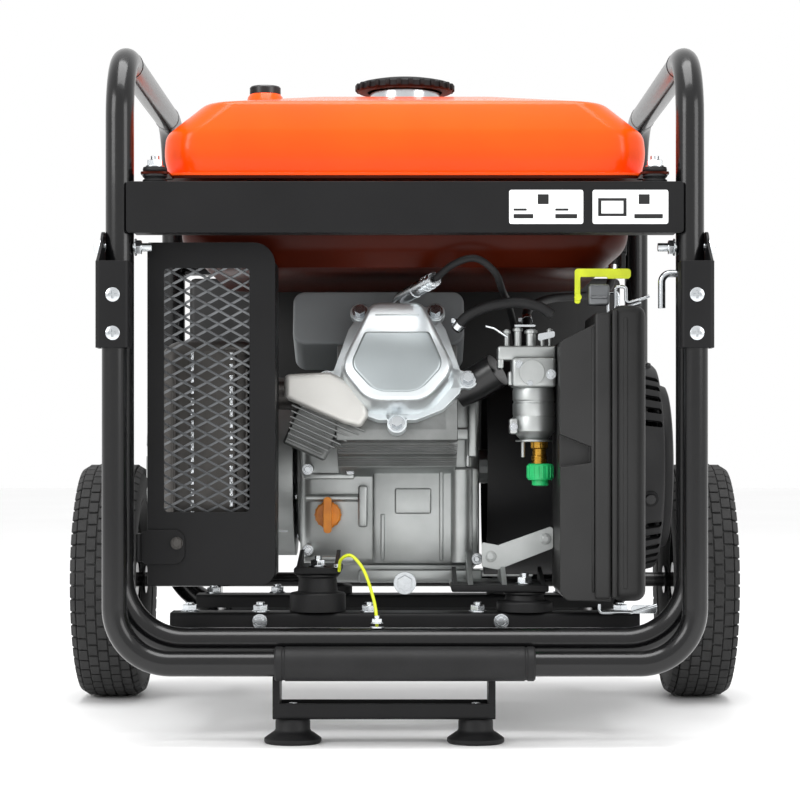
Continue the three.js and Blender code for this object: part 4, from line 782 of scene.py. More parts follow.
# ---------------------------------------------------------------- engine
def crankcase():
    """Aluminium casting with its deck, sump flange, ribs, bosses and mounting feet."""
    bm = bmesh.new()
    left, right, front, rear, top = -104, 74, -80, 124, 332
    block(bm, (left, front, 150), (right, rear, top), 12, 3)
    block(bm, (left + 6, front + 3, 137.5), (right - 6, rear - 6, 168), 4, 2)
    for x0, x1, deep, z0, z1, edge in ((-46, 64, 7, 279, 291, 2), (-32, 73, 8, 156, 252, 4),
                                       (-10, 26, 11, 206, 231.5, 2), (-46, -37, 13, 193, 234, 2),
                                       (-46, 76, 10, 138, 151, 2.5), (62, 71, 10, 262, 320, 2),
                                       (-46, -42, 6, 252, 280, 1), (60, 64, 6, 252, 280, 1),
                                       (-100, -50, 4, 240, 246, 1.5), (-100, -50, 4, 158, 164, 1.5),
                                       (34, 38, 10.5, 160, 250, 1), (-24, -20, 10, 160, 206, 1)):
        block(bm, (x0, front - deep, z0), (x1, front + 4, z1), edge, 2)
    rod(bm, (56, front - 3, 158), (56, front - 3, 250), 12, 32)
    rod(bm, (-98, front - 4, 221.6), (-46, front - 4, 221.6), 3.6, 20)
    for x, z, radius in ((16, 267, 6.5), (71, 161.5, 6), (-96, 170, 6), (-96, 250, 6), (-54, 250, 6),
                         (-41, 262, 5)):
        rod(bm, (x, front + 2, z), (x, front - 9, z), radius, 24)
    for x0, x1, y0, y1, z in ((44, 94, -126, -68, 134.5), (-105, -61, 84, 132, 134.5),
                              (44, 136, 84, 132, 134.5)):
        block(bm, (x0, y0, z + 0.2), (x1, y1, z + 7), 1.6, 2)
    for x in (60, 92):
        plate(bm, [(-180, 141), (-74, 141), (-74, 176)], "yz", x, x + 5)
    deck = block(bm, (-58, -124.7, -50), (58, -60, 50), 4, 3)
    bmesh.ops.transform(bm, matrix=TILT, verts=deck)
    renew("crankcase", bm, DIE_CAST, soften=0.6)
    bm = bmesh.new()
    for x0, x1, z in ((-105, -61, 151), (44, 136, 134.5)):
        block(bm, (x0, -188, z + 0.2), (x1, -92, z + 6.8), 1.6, 2)
        for x in (x0 + 2, x1 - 6):
            plate(bm, [(-184, z + 6), (-96, z + 6), (-96, z + 20)], "yz", x, x + 4)
    make("crankcase_front_feet", bm, SATIN_POWDER, soften=0.4)
    bm = bmesh.new()
    cover = [(0, 0), (80, 0), (80, 4), (74, 7), (52, 7), (48, 5), (24, 5), (22, 7), (0, 7)]
    lathe(bm, cover, (left, 30, 252), -X, 64)
    make("crankcase_end_cover", bm, SHADED_ROUGH_CAST, soften=0.6)
    bm = bmesh.new()
    for x, z, size in ((16, 267, 5.5), (-96, 170, 5), (-96, 250, 5), (-54, 250, 5), (-41, 262, 4)):
        bolt(bm, (x, front - 9, z), -Y, size)
    bolt(bm, (71, front - 9, 161.5), -Y, 5, stud=4)
    for k in range(8):
        a = math.tau * (k + 0.5) / 8
        bolt(bm, (left - 4, 30 + 75 * math.cos(a), 252 + 75 * math.sin(a)), -X, 4, washer=False)
    rod(bm, (0, front - 10, 138), (0, front - 15, 138), 11.2, 36)
    rod(bm, (0, front - 15, 138), (0, front - 21, 138), 8, 6)
    for x, y, z in ((-83, -168, 158), (114, -168, 141.5), (-83, 112, 141.5), (114, 112, 141.5)):
        bolt(bm, (x, y, z), Z, 8, stud=4)
    make("crankcase_bolts", bm, ZINC, soften=0.4)


def cylinder():
    """Finned barrel and head, both leaning back by the cylinder's angle."""
    bm = bmesh.new()
    block(bm, (-50, -150.6, -42), (50, -125, 42), 5, 2)
    for k in range(5):
        block(bm, (-58, -148 + 5 * k, -50), (58, -146 + 5 * k, 50), 0.7, 2)
    bmesh.ops.transform(bm, matrix=TILT, verts=bm.verts)
    # The barrel takes the darker casting: painted shade deep in the machine.
    renew("cylinder_barrel", bm, SHADED_ROUGH_CAST, soften=0)
    bm = bmesh.new()
    block(bm, (-52, -194.6, -44), (52, -151, 49), 5, 2)
    block(bm, (-58, -159, -50), (58, -151, 50), 2, 2)
    block(bm, (-58, -194.6, -50), (58, -187, 50), 2, 2)
    for k in range(5):
        block(bm, (-58, -183 + 5 * k, -50), (58, -181 + 5 * k, 50), 0.7, 2)
    block(bm, (-40, -194.6, 40), (44, -176, 84), 4, 2)
    bmesh.ops.transform(bm, matrix=TILT, verts=bm.verts)
    renew("cylinder_head", bm, SHADED_ROUGH_CAST, soften=0)
    bm = bmesh.new()
    outline = rounded([(-115, 341), (-72, 343), (-42, 330), (-34, 302), (-42, 290), (-58, 294),
                       (-115, 318)], [6, 12, 14, 10, 6, 12, 6], closed=True)
    plate(bm, outline, "xz", -176, -148)
    make("exhaust_port_casting", bm, PALE_CAST, soften=6, segments=5)
    bm = bmesh.new()
    for k in range(8):
        block(bm, (-112 + 1.5 * k, -168, 303 - 5.2 * k), (-36 - 4 * k, -140, 305 - 5.2 * k), 0.6, 1)
    block(bm, (-104, -160, 262), (-60, -142, 306), 2, 1)
    bmesh.ops.rotate(bm, verts=bm.verts, cent=(-78, -154, 300),
                     matrix=Matrix.Rotation(math.radians(24), 3, "Y"))
    make("exhaust_side_fins", bm, SHADED_ROUGH_CAST, soften=0)


COVER_EARS = ((-36, 80), (37, 80), (-67, 9), (68, 9), (0, -37))


def rocker_cover():
    """Domed cover: flange with five ears, drafted body, and a raised lower panel."""
    bm = bmesh.new()
    flange = rounded([(-32, 86), (32, 86), (47, 62), (61, 18), (61, -4), (44, -22), (18, -33), (-18, -33),
                      (-44, -22), (-61, -4), (-61, 18), (-47, 62)], 9, closed=True, steps=5)
    plate(bm, flange, "xz", -203.5, -195.2)
    for x, z in COVER_EARS:
        rod(bm, (x, -204, z), (x, -195.2, z), 9.4, 32)
        inner = Vector((x * 0.72, 0, z * 0.8 + 4))
        side = Vector((z * 0.8, 0, -x * 0.72)).normalized() * 8.5
        arm = [Vector((x, 0, z)) + side, inner + side * 1.4, inner - side * 1.4, Vector((x, 0, z)) - side]
        plate(bm, [(point.x, point.z) for point in arm], "xz", -203.5, -195.2)
    body, body_bends = [(-26, 81), (26, 81), (58, 8), (30, -27), (-30, -27), (-58, 8)], [12, 12, 22, 34, 34,
                                                                                         22]
    drafts = ((1, -203), (0.985, -215), (0.965, -226), (0.945, -229.6), (0.915, -231.8), (0.87, -233))
    loft(bm, drafted(body, body_bends, 22, drafts))
    block(bm, (-21, -233.9, 62), (21, -231, 64.4), 0.9, 2)
    bmesh.ops.transform(bm, matrix=TILT, verts=bm.verts)
    renew("valve_cover", bm, BRIGHT_CAST, soften=0.7)
    bm = bmesh.new()
    panel, panel_bends = [(-31, 46), (31, 46), (45, 11), (21, -17), (-21, -17), (-45, 11)], [4, 4, 16, 26,
                                                                                             26, 16]
    drafts = ((1, -232.4), (0.985, -233.6), (0.96, -234.4), (0.93, -234.8))
    loft(bm, drafted(panel, panel_bends, 12, drafts))
    bmesh.ops.transform(bm, matrix=TILT, verts=bm.verts)
    # The panel takes the greyer aluminium: painted shade on its flat face.
    make("valve_cover_panel", bm, SHADED_PANEL_CAST, soften=0)
    bm = bmesh.new()
    for x, z in COVER_EARS:
        rod(bm, (x, -204, z), (x, -205.6, z), 7.6, 32)
        rod(bm, (x, -205.6, z), (x, -211, z), 5.6, 6)
    bmesh.ops.transform(bm, matrix=TILT, verts=bm.verts)
    make("valve_cover_bolts", bm, ZINC, soften=0.4)
    bm = bmesh.new()
    plate(bm, oblong(-103, 66, 66.2, 123.8, 12, 8), "xz", -160.7, -95)
    bmesh.ops.transform(bm, matrix=TILT, verts=bm.verts)
    renew("cooling_shroud", bm, SILVER_PAINT, soften=3, segments=4)


LEAD = ((29.2, -192.6, 430.6), (46, -207, 443), (66, -211, 448), (84, -205, 436), (92, -185, 420),
        (98, -150, 412), (106, -110, 392), (112, -76, 360), (114, -52, 335))
BREATHER = ((48, -172, 384), (60, -180, 396), (82, -188, 405), (106, -191, 408), (126, -192, 404),
            (139.6, -193, 396))
FUEL = ((118, -118, 372), (120, -96, 392), (124, -60, 410), (150, 0, 424), (190, 40, 430), (214, 62, 440),
        (220, 70, 470))
EARTH = ((-62, -191, 155), (-60, -200, 166), (-50, -207, 170), (-38, -214, 156), (-29, -222, 130),
         (-26, -234, 113), (-25.6, -250, 108.2))


def leads_and_hoses():
    bm = bmesh.new()
    path = rounded([(-8, -112, 376), (-8, -112, 414), (28, -190, 430)], 18, steps=8)
    sweep(bm, path, 7.1, 28)
    heading = (path[-1] - path[-2]).normalized()
    for back, radius, long in ((8, 7.7, 3), (16, 7.7, 3), (40, 7.7, 3)):
        ring = path[-1] - heading * back
        rod(bm, ring, ring - heading * long, radius, 28)
    renew("spark_plug_boot", bm, ZINC, soften=0.5)
    for name, route, radius, surface in (("ignition_lead", LEAD, 3.4, RUBBER),
                                         ("breather_hose", BREATHER, 5.1, RUBBER),
                                         ("fuel_hose", FUEL, 4.4, RUBBER),
                                         ("earth_wire", EARTH, 1.55, YELLOW_GREEN)):
        bm = bmesh.new()
        sweep(bm, flowing(route, 7), radius, 20)
        renew(name, bm, surface, soften=0)
    bm = bmesh.new()
    for route, k, radius in ((BREATHER, 0, 5.1), (FUEL, 1, 4.4), (FUEL, 6, 4.4)):
        points = flowing(route, 7)
        i = min(k * 7 + 2, len(points) - 3)
        heading = (points[i + 1] - points[i]).normalized()
        profile = [(radius + 0.1, -3), (radius + 1, -3), (radius + 1, 3), (radius + 0.1, 3),
                   (radius + 0.1, -3)]
        lathe(bm, profile, points[i], heading, 24)
        ear = points[i] + heading.cross(Y).normalized() * (radius + 2)
        block(bm, ear - Vector((2, 2, 2.4)), ear + Vector((2, 2, 2.4)), 0.6, 1)
    make("hose_clamps", bm, ZINC, soften=0.2)
    bm = bmesh.new()
    rod(bm, (116, -54, 338), (113, -44, 330), 7, 24, 9)
    make("lead_grommet", bm, RUBBER, soften=0.6)
    bm = bmesh.new()
    rod(bm, (-25.6, -250, 105.6), (-25.6, -250, 107), 6.6, 28)
    bolt(bm, (-25.6, -250, 109.8), Z, 5.4, stud=3)
    bolt(bm, (-64, -186, 158), Z, 4)
    make("earth_terminals", bm, ZINC, soften=0.3)


def carburettor():
    """Body, flange, float bowl, cut-off stem and the levers on top."""
    y = -166
    bm = bmesh.new()
    block(bm, (101, -188, 328), (143.4, -146, 357), 4, 3)
    block(bm, (88, -178, 354), (143.4, -150, 368), 2.5, 2)
    block(bm, (88, -178, 346), (94, -150, 356), 2, 2)
    rod(bm, (120, -193, 342), (120, -132, 342), 12, 36)
    rod(bm, (92, y, 361), (100, y, 361), 5, 24)
    for x, radius, top in ((97, 2.4, 384), (107.5, 3.4, 386), (120, 4.6, 384), (131, 2.2, 380),
                           (138, 1.6, 385)):
        rod(bm, (x, y, 367), (x, y, top), radius, 20)
        rod(bm, (x, y, top - 4), (x, y, top - 1), radius + 1.5, 20)
    bowl = [(0, 328), (19.5, 328), (20.3, 325), (20.3, 316.5), (19.4, 315.6), (19.4, 314), (20.3, 313),
            (20.3, 303), (19.6, 301.5), (20.4, 300), (20, 287), (16, 282), (13, 279), (17.5, 278.6),
            (17.5, 276.8), (0, 276.8)]
    lathe(bm, bowl, (123, y, 0), Z, 56)
    block(bm, (99, -182, 284), (107, -168, 299), 2, 2)
    block(bm, (98, -176, 330), (104, -160, 344), 2, 2)
    rod(bm, (112.6, y, 262), (112.6, y, 278), 2, 14)
    renew("carburettor", bm, DIE_CAST, soften=0.5)
    bm = bmesh.new()
    bolt(bm, (138, -188, 340.5), -Y, 4.4)
    bolt(bm, (108, -188, 350), -Y, 3.4)
    bolt(bm, (103, -182, 291), -Y, 3.6)
    rod(bm, (118, -187, 332), (118, -194, 332), 2.6, 16)
    plate(bm, oblong(104, 124, 386, 388, 1), "xz", -176, -158)
    plate(bm, rounded([(126, 372), (142, 376), (142, 382), (126, 379)], 2, closed=True), "xz", -182, -180)
    sweep(bm, [Vector(point) for point in ((97, -180, 376), (84, -186, 384), (76, -188, 386))], 1.3, 12)
    make("carburettor_levers", bm, ZINC, soften=0.3)
    bm = bmesh.new()
    stem = [(0, 277), (8.4, 277), (8.4, 271), (6.6, 270), (6.6, 264), (7.4, 263), (7.4, 255), (0, 255)]
    lathe(bm, stem, (128, y, 0), Z, 36)
    rod(bm, (128, y, 271), (128, y, 276.8), 9, 6)
    make("fuel_cut_off_stem", bm, BRASS, soften=0.4)
    bm = bmesh.new()
    cap = [(0, 256), (11, 256), (12.4, 254.5), (12.4, 242), (11.4, 240.4), (8, 240.4), (8, 235.6),
           (6.6, 234.8), (0, 234.8)]
    lathe(bm, cap, (129, y, 0), Z, 44)
    rib = rod(bm, (129 + 12.2, y, 242.5), (129 + 12.2, y, 254), 0.8, 8)
    around(bm, rib, (129, y, 0), Z, 18)
    make("fuel_cut_off_cap", bm, GREEN_NYLON, soften=0.4)
    bm = bmesh.new()
    sweep(bm, [Vector(point) for point in ((50.6, -136, 326), (70, -140, 334), (89, -148, 346))], 17, 32)
    make("intake_elbow", bm, BLACK_NYLON, soften=0.6)


def air_filter():
    bm = bmesh.new()
    outline = rounded([(144.2, 137), (150, 129), (191.7, 128), (191.7, 397), (177, 396), (176, 386),
                       (146, 371), (144.2, 366)], [3, 6, 1, 1, 4, 3, 6, 3], closed=True)
    plate(bm, outline, "xz", -221.5, -104)
    recess = bmesh.new()
    plate(recess, [(138, 286), (173, 272), (173, 257), (138, 252)], "xz", -230, -211)
    bm = carve(bm, recess)
    block(bm, (176.4, -224.4, 130), (191.7, -103, 397), 3, 3)
    block(bm, (173.4, -222.6, 136), (177, -214, 384), 1.4, 2)
    renew("air_filter_case", bm, BLACK_ABS, soften=1.4, segments=3)
    bm = bmesh.new()
    block(bm, (192.3, -222, 128), (224.6, -104, 404), 10, 5)
    block(bm, (192.3, -225, 131), (197.6, -101, 400), 2, 2)
    for y in (-190, -163, -136):
        block(bm, (220, y - 4, 150), (226, y + 4, 382), 2, 2)
    block(bm, (203, -222.8, 140), (207, -218, 392), 0.4, 1)
    renew("air_filter_lid", bm, BLACK_ABS, soften=0.6)
    bm = bmesh.new()
    block(bm, (153, -206, 142), (187.4, -111, 366), 6, 2)
    make("air_filter_foam", bm, FOAM, replaces=("air_filter_element",), soften=0)
    bm = bmesh.new()
    block(bm, (171, -215, 404), (191, -197, 424), 3, 3)
    block(bm, (173, -217, 410), (189, -195, 413), 1, 1)
    make("filter_latch_block", bm, MESH_STEEL, soften=0.6)
    bm = bmesh.new()
    for route in (((197, -205, 398), (197, -205, 422), (207, -205, 422), (207, -205, 406),
                   (229, -205, 413)), ((197, -125, 398), (197, -125, 422), (207, -125, 422),
                                       (207, -125, 406), (229, -125, 413))):
        sweep(bm, rounded(route, 3, steps=4), 1.6, 14)
    make("filter_top_clips", bm, ZINC, soften=0)
    bm = bmesh.new()
    x, z = 182, 124.8
    sweep(bm, rounded([(x, -205, z), (x, -205, z - 8), (x + 30, -205, z - 8), (x + 54, -205, z - 1)], 3.5,
                      steps=5), 1.55, 16)
    plate(bm, oblong(x + 30, x + 54, z - 9, z - 1, 3), "xz", -205.6, -204.4)
    renew("filter_bail", bm, ZINC, "filter_bail", soften=0.2)
    bm = bmesh.new()
    lever = rounded([(158.9, 406), (164.2, 406), (164.2, 431), (189, 431), (190, 429.4), (211.4, 429.4),
                     (211.4, 438.8), (158.9, 438.8)], [2, 2, 1.5, 1.5, 1.2, 3, 3, 3], closed=True)
    plate(bm, lever, "xz", -207.4, -204.6)
    rod(bm, (162, -208.6, 412), (162, -203, 412), 3.4, 24)
    renew("choke_lever", bm, YELLOW_GREEN, "choke_lever", soften=0.4)
    bm = bmesh.new()
    strap = rounded([(74.4, 156), (90, 153), (143.6, 174), (143.6, 196), (90, 177), (74.4, 180)],
                    [2, 4, 3, 3, 4, 2], closed=True)
    plate(bm, strap, "xz", -134, -131)
    bolt(bm, (83, -134, 166), -Y, 5)
    bolt(bm, (136, -134, 183), -Y, 5)
    renew("filter_strap", bm, DIE_CAST, soften=0.4)


def exhaust():
    bm = bmesh.new()
    block(bm, (-232, -204, 162), (-134, -86, 372), 22, 6)
    for x in (-216, -148):
        block(bm, (x - 1.6, -206, 190), (x + 1.6, -200, 345), 1, 2)
    renew("muffler", bm, EXHAUST_STEEL, soften=0.5)
    bm = bmesh.new()
    block(bm, (-201.5, -210, 186), (-157.4, -204.6, 363), 2.4, 3)
    make("muffler_heat_shield", bm, EXHAUST_STEEL, soften=0)
    bm = bmesh.new()
    for x in (-198.6, -162):
        for k in range(16):
            block(bm, (x - 1.7, -212, 194 + 10.6 * k), (x + 1.7, -209, 201.4 + 10.6 * k), 0.8, 2)
    make("heat_shield_crimps", bm, ZINC, soften=0)
    bm = bmesh.new()
    sweep(bm, [Vector((-68.2, -122, 322)), Vector((-100, -122, 322)), Vector((-133.4, -122, 322))], 13.8, 36)
    lathe(bm, [(13, 0), (22, 0), (22, 5), (13, 5)], (-76, -122, 322), -X, 36)
    renew("exhaust_pipe", bm, EXHAUST_STEEL, soften=0.5)


def muffler_guard():
    """Plate with a window of expanded metal, a return cheek and a bolted tab."""
    front, window = -226, (-223.5, -144.2, 211.5, 437.8)
    bm = bmesh.new()
    outer = rounded([(-239, 143.4), (-120.4, 143.4), (-120.4, 461.6), (-239, 461.6)], [2, 14, 20, 2],
                    closed=True, steps=8)
    plate(bm, outer, "xz", front, front + 2)
    hole = bmesh.new()
    plate(hole, oblong(*window, 4), "xz", front - 4, front + 6)
    bm = carve(bm, hole)
    block(bm, (-122.4, front + 1, 152), (-120.4, -166.4, 444), 0.8, 2)
    plate(bm, oblong(-247, -204, 163, 195, 10, 8), "xz", front - 3, front - 0.2)
    block(bm, (-247, -249, 166), (-243.6, front, 192), 0.8, 2)
    renew("muffler_guard", bm, SATIN_POWDER, soften=0.5)
    bm = bmesh.new()
    wide, tall = 21.9, 12.06
    slope = math.atan2(tall, wide)
    x0, x1, z0, z1 = window
    for lean in SIDES:
        for k in range(-8, 28):
            start = z0 + k * tall
            strand = block(bm, (-70, -0.5, -1.1), (70, 0.5, 1.1))
            turn = Matrix.Rotation(-lean * slope, 3, "Y") @ Matrix.Rotation(math.radians(32), 3, "X")
            bmesh.ops.rotate(bm, verts=strand, cent=(0, 0, 0), matrix=turn)
            bmesh.ops.translate(bm, verts=strand, vec=((x0 + x1) / 2, front + 3.2 + 0.3 * lean, start))
    for point, normal in (((x0 - 4, 0, 0), -X), ((x1 + 4, 0, 0), X), ((0, 0, z0 - 4), -Z),
                          ((0, 0, z1 + 4), Z)):
        bmesh.ops.bisect_plane(bm, geom=[*bm.verts, *bm.edges, *bm.faces], plane_co=point, plane_no=normal,
                               clear_outer=True)
    make("muffler_guard_mesh", bm, MESH_STEEL, soften=0)
    bm = bmesh.new()
    bolt(bm, (-211.4, front - 3, 182.7), -Y, 5.4)
    make("muffler_guard_bolt", bm, EXHAUST_STEEL, soften=0.3)


def dipstick():
    bm = bmesh.new()
    x, z, face = -76, 205, -80.3
    lathe(bm, [(0, 0), (12.9, 0), (12.9, 7.4), (11.6, 9), (0, 9)], (x, face, z), -Y, 40)
    rib = rod(bm, (x + 12.7, face - 1, z), (x + 12.7, face - 7.6, z), 0.9, 8)
    around(bm, rib, (x, face, z), Y, 16)
    plate(bm, oblong(x - 4, x + 4, z - 17.8, z + 17.8, 3.6), "xz", face - 19.7, face - 8)
    rod(bm, (x, face + 1, z), (x, face + 33, z), 3.8, 16)
    renew("dipstick", bm, ORANGE_NYLON, "dipstick", soften=0.8, segments=3)


def fan_and_recoil():
    fan, step, taper, recoil, end = 111.8, 258, 30, 83.8, 269.8
    bm = bmesh.new()
    profile = [(0, end), (recoil - 5, end), (recoil - 1.4, end - 1.4), (recoil, end - 5),
               (recoil, step + 3), (fan - 10, step), (fan - 7, step - 3), (fan, step - taper), (fan, 92),
               (fan + 0.1, 90), (fan + 0.1, 82), (fan - 3, 82), (fan - 3, step - taper),
               (fan - 11, step - 3), (recoil - 3, step), (recoil - 3, end - 6), (0, end - 4)]
    lathe(bm, profile, (0, 30, 252), X, 96)
    slots = bmesh.new()
    for group in range(4):
        for k in range(5):
            slot = block(slots, (233, -125, -3.4), (257, -88, 3.4), 2.4, 2)
            angle = -math.radians(24 + 8.2 * k + 90 * group)
            bmesh.ops.rotate(slots, verts=slot, cent=(0, 0, 0), matrix=Matrix.Rotation(angle, 3, "X"))
    for k in range(12):
        slot = block(slots, (262, -74, -3), (276, -40, 3), 2.6, 2)
        bmesh.ops.rotate(slots, verts=slot, cent=(0, 0, 0), matrix=Matrix.Rotation(math.tau * k / 12, 3, "X"))
    bmesh.ops.translate(slots, verts=slots.verts, vec=(0, 30, 252))
    bm = carve(bm, slots)
    for angle in (-17, 75, 165, 255):
        a = math.radians(angle)
        out = Vector((0, -math.cos(a), math.sin(a)))
        rod(bm, CRANK + X * 244 + out * 96, CRANK + X * 244 + out * 109, 9, 28, 8)
    lathe(bm, [(0, end), (26, end), (24, end + 0.1), (0, end + 0.2)], (0, 30, 252), X, 48)
    renew("recoil_housing", bm, MATT_BLACK, soften=0.6)
    bm = bmesh.new()
    for angle in (-17, 75, 165, 255):
        a = math.radians(angle)
        out = Vector((0, -math.cos(a), math.sin(a)))
        rod(bm, CRANK + X * 244 + out * 109, CRANK + X * 244 + out * 110.6, 5, 24)
    make("recoil_housing_screws", bm, BLACK_NYLON, soften=0.3)
    bm = bmesh.new()
    x, z = 222, 304
    rod(bm, (x, -9, z), (x, 150, z), 2.4, 16)
    block(bm, (x - 10.8, 144.4, z - 45.8), (x + 10.8, 165.8, z + 45.8), 8.6, 5)
    rod(bm, (x, 139.5, z), (x, 146, z), 5.4, 24, 7)
    for k in (-30, -20, -10, 10, 20, 30):
        lathe(bm, [(9, -1.4), (11.2, -1.4), (11.2, 1.4), (9, 1.4)], (x, 155.1, z + k), Z, 32)
    renew("recoil_grip", bm, BLACK_NYLON, "recoil_grip", soften=0.4)


def alternator():
    """Cast end bells either side of a laminated stator, held by four through bolts."""
    high = span("alternator_housing")[1]
    bm = bmesh.new()
    drive = [(66, 0), (92, 0), (92, 22), (88, 25), (66, 25), (66, 0)]
    lathe(bm, drive, (high.x - 0.2, 30, 252), -X, 72)
    bell = [(66, 0), (88, 0), (92, 3), (92, 32), (88, 42), (74, 52), (30, 53.8), (18.4, 53.8), (18.4, 46),
            (64, 40), (66, 0)]
    lathe(bm, bell, (-208, 30, 252), -X, 72)
    vents = bmesh.new()
    for k in range(14):
        slot = block(vents, (-256, -6, 46), (-196, 6, 84), 3, 2)
        bmesh.ops.rotate(vents, verts=slot, cent=(0, 0, 0), matrix=Matrix.Rotation(math.tau * k / 14, 3, "X"))
    bmesh.ops.translate(vents, verts=vents.verts, vec=(-12, 30, 252))
    bm = carve(bm, vents)
    renew("alternator_housing", bm, DIE_CAST, soften=0.6)
    bm = bmesh.new()
    profile = [(66, -137.4), (86, -137.4)]
    for k in range(22):
        x = -138 - 3.15 * k
        profile += [(87.2, x), (87.2, x - 1.9), (86.2, x - 2.1), (86.2, x - 2.9)]
    profile += [(86, -207.8), (66, -207.8), (66, -137.4)]
    lathe(bm, profile, (0, 30, 252), X, 64)
    make("stator_laminations", bm, EXHAUST_STEEL, soften=0)
    bm = bmesh.new()
    for k in range(4):
        a = math.tau * (k + 0.5) / 4
        y, z = 30 + 89.6 * math.cos(a), 252 + 89.6 * math.sin(a)
        rod(bm, (-118, y, z), (-252, y, z), 2.6, 14)
        bolt(bm, (-250.4, y, z), -X, 5)
    make("alternator_through_bolts", bm, ZINC, soften=0.3)


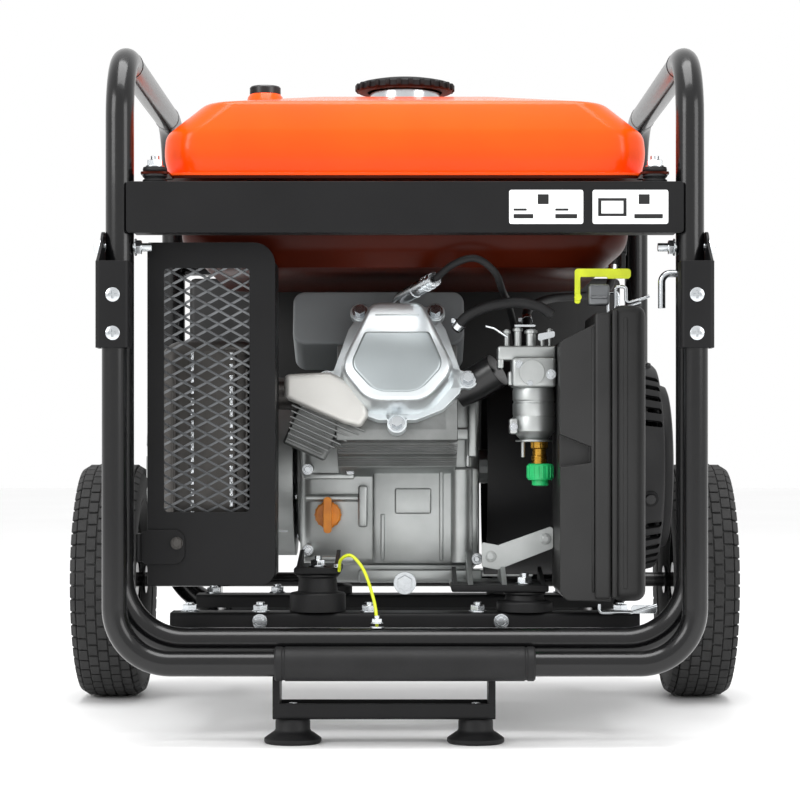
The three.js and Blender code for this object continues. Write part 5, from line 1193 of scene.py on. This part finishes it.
def control_panel():
    """Moulded box on the rear legs' side with sockets, meter, switch and breaker."""
    low, high = span("control_panel")
    face = high.y
    bm = bmesh.new()
    block(bm, (-199.8, low.y + 0.2, low.z + 0.2), (199.8, face - 1.6, high.z - 1.2), 8, 4)
    block(bm, (low.x + 0.2, low.y + 0.6, 356.2), (high.x - 0.2, face - 4, high.z - 0.2), 6, 3)
    wells = bmesh.new()
    block(wells, (-161, face - 14, 385), (-139, face + 5, 415), 1.5, 2)
    rod(wells, (-90, face - 14, 400), (-90, face + 5, 400), 7, 36)
    bm = carve(bm, wells)
    renew("control_panel", bm, BLACK_ABS, soften=0.5)
    bm = bmesh.new()
    plate(bm, oblong(-188, 188, 274, 444, 8, 6), "xz", face - 1.6, face - 0.4)
    wells = bmesh.new()
    block(wells, (-163, face - 5, 383), (-137, face + 5, 417), 1.5, 2)
    rod(wells, (-90, face - 5, 400), (-90, face + 5, 400), 8, 36)
    bm = carve(bm, wells)
    make("control_panel_fascia", bm, SILVER_PAINT, soften=0.3)
    bm = bmesh.new()
    plate(bm, oblong(-26, 46, 376, 432, 5, 5), "xz", face - 0.5, face + 5)
    for x in (-120, -30, 60):
        plate(bm, oblong(x - 34, x + 34, 288, 356, 6, 5), "xz", face - 0.5, face + 3)
        lathe(bm, [(0, 3), (27, 3), (27, 13), (24, 14.6), (22, 14.6), (22, 8), (0, 8)], (x, face, 322), Y, 56)
        block(bm, (x - 8, face + 12, 346), (x + 8, face + 17, 354), 2, 2)
    lathe(bm, [(0, 0), (36, 0), (36, 6), (33, 8), (30, 8), (30, 4), (0, 4)], (140, face, 330), Y, 56)
    make("control_panel_sockets", bm, BLACK_NYLON, soften=0.4)
    bm = bmesh.new()
    plate(bm, oblong(-20, 40, 382, 426, 3, 4), "xz", face + 4.6, face + 5.6)
    make("meter_lens", bm, LENS, soften=0.3)
    bm = bmesh.new()
    for k in range(11):
        a = math.radians(140 - 10 * k)
        tick = block(bm, (-0.5, face + 5.5, 24), (0.5, face + 5.9, 29 if k % 5 == 0 else 27))
        bmesh.ops.rotate(bm, verts=tick, cent=(0, 0, 0), matrix=Matrix.Rotation(math.pi / 2 - a, 3, "Y"))
        bmesh.ops.translate(bm, verts=tick, vec=(10, 0, 388))
    make("meter_scale", bm, WHITE_FILM, soften=0)
    bm = bmesh.new()
    for x in (-120, -30, 60):
        for a in (90, 210, 330):
            a = math.radians(a)
            rod(bm, (x + 11 * math.cos(a), face + 7.8, 322 + 11 * math.sin(a)),
                (x + 11 * math.cos(a), face + 9, 322 + 11 * math.sin(a)), 3, 16)
    for a in (45, 135, 225, 315):
        a = math.radians(a)
        rod(bm, (140 + 15 * math.cos(a), face + 3.8, 330 + 15 * math.sin(a)),
            (140 + 15 * math.cos(a), face + 5.4, 330 + 15 * math.sin(a)), 3.6, 16)
    for x in (-180, 180):
        for z in (282, 436):
            lathe(bm, [(0, 0), (5, 0), (4.4, 1.4), (0, 2.2)], (x, face - 0.4, z), Y, 24)
    bolt(bm, (160, face - 0.4, 290), Y, 6, stud=6)
    make("control_panel_metalwork", bm, BRASS, soften=0.2)
    bm = bmesh.new()
    rocker = rounded([(-7, -10), (0, -12), (1.5, -3), (4.5, 12.5), (-1, 13), (-8, 4)], [0, 1, 2, 1, 0, 0],
                     closed=True)
    plate(bm, [(259 + y, 400 + z) for y, z in rocker], "yz", -159.8, -140.2)
    renew("engine_switch", bm, BLACK_NYLON, "engine_switch", soften=0.6)
    bm = bmesh.new()
    lathe(bm, [(0, -8), (5.9, -8), (5.9, 3.8), (5, 5.2), (0, 5.4)], (-90, face, 400), Y, 40)
    renew("breaker_button", bm, ORANGE_NYLON, "breaker_button", soften=0.3)


def rotating_parts():
    """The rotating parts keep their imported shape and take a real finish."""
    for name, surface in (("crankshaft", DIE_CAST), ("alternator_rotor", EXHAUST_STEEL)):
        for holder in bpy.data.objects[name].material_slots:
            holder.material = surface[0]


# ---------------------------------------------------------------- stage
def stage():
    bm = bmesh.new()
    bmesh.ops.create_grid(bm, x_segments=1, y_segments=1, size=14)
    floor = as_object(bm, "studio_floor")
    floor.data.materials.append(finish("pale_studio_floor", "frame_paint", ("#f8f8f8", "#fbfbfb"),
                                       (0.5, 0.6), mottle=900, grain=40, depth=0.0)[0])
    world = bpy.data.worlds.new("studio")
    world.use_nodes = True
    sky = world.node_tree.nodes["Background"]
    sky.inputs["Color"].default_value = (1, 1, 1, 1)
    sky.inputs["Strength"].default_value = 1.0
    SCENE.world = world
    SCENE.view_settings.view_transform = "Standard"
    soft_box("overhead", (0, -0.5, 2.4), (0, 0, 0.3), 1.6, 52)
    soft_box("left_key", (-2.2, -2.0, 1.6), (0, 0, 0.35), 1.4, 36)
    soft_box("right_fill", (2.2, -2.0, 1.2), (0, 0, 0.3), 1.4, 24)


place_camera()
stage()
hoop(-1, "front_hoop")
hoop(1, "rear_hoop")
rails()
crossbar(-1, "front_crossbar")
crossbar(1, "rear_crossbar")
blank_label("left_label", 95, 162.5, 475, 506, [(4, 22, 5, 9), (4, 16, 12, 14), (26, 36, 18, 27),
                                                (42, 62, 5, 9), (42, 54, 12, 14)])
blank_label("right_label", 171, 240, 475, 506, [(5, 31, 7, 9.5), (5, 31, 21, 23.5), (5, 8, 9, 21),
                                                (28, 31, 9, 21), (42, 52, 18, 27), (38, 64, 5, 9)])
base()
running_gear()
handle()
lock_pin()
tank()
tank_fittings()
crankcase()
cylinder()
rocker_cover()
leads_and_hoses()
carburettor()
air_filter()
exhaust()
muffler_guard()
dipstick()
fan_and_recoil()
alternator()
control_panel()
rotating_parts()
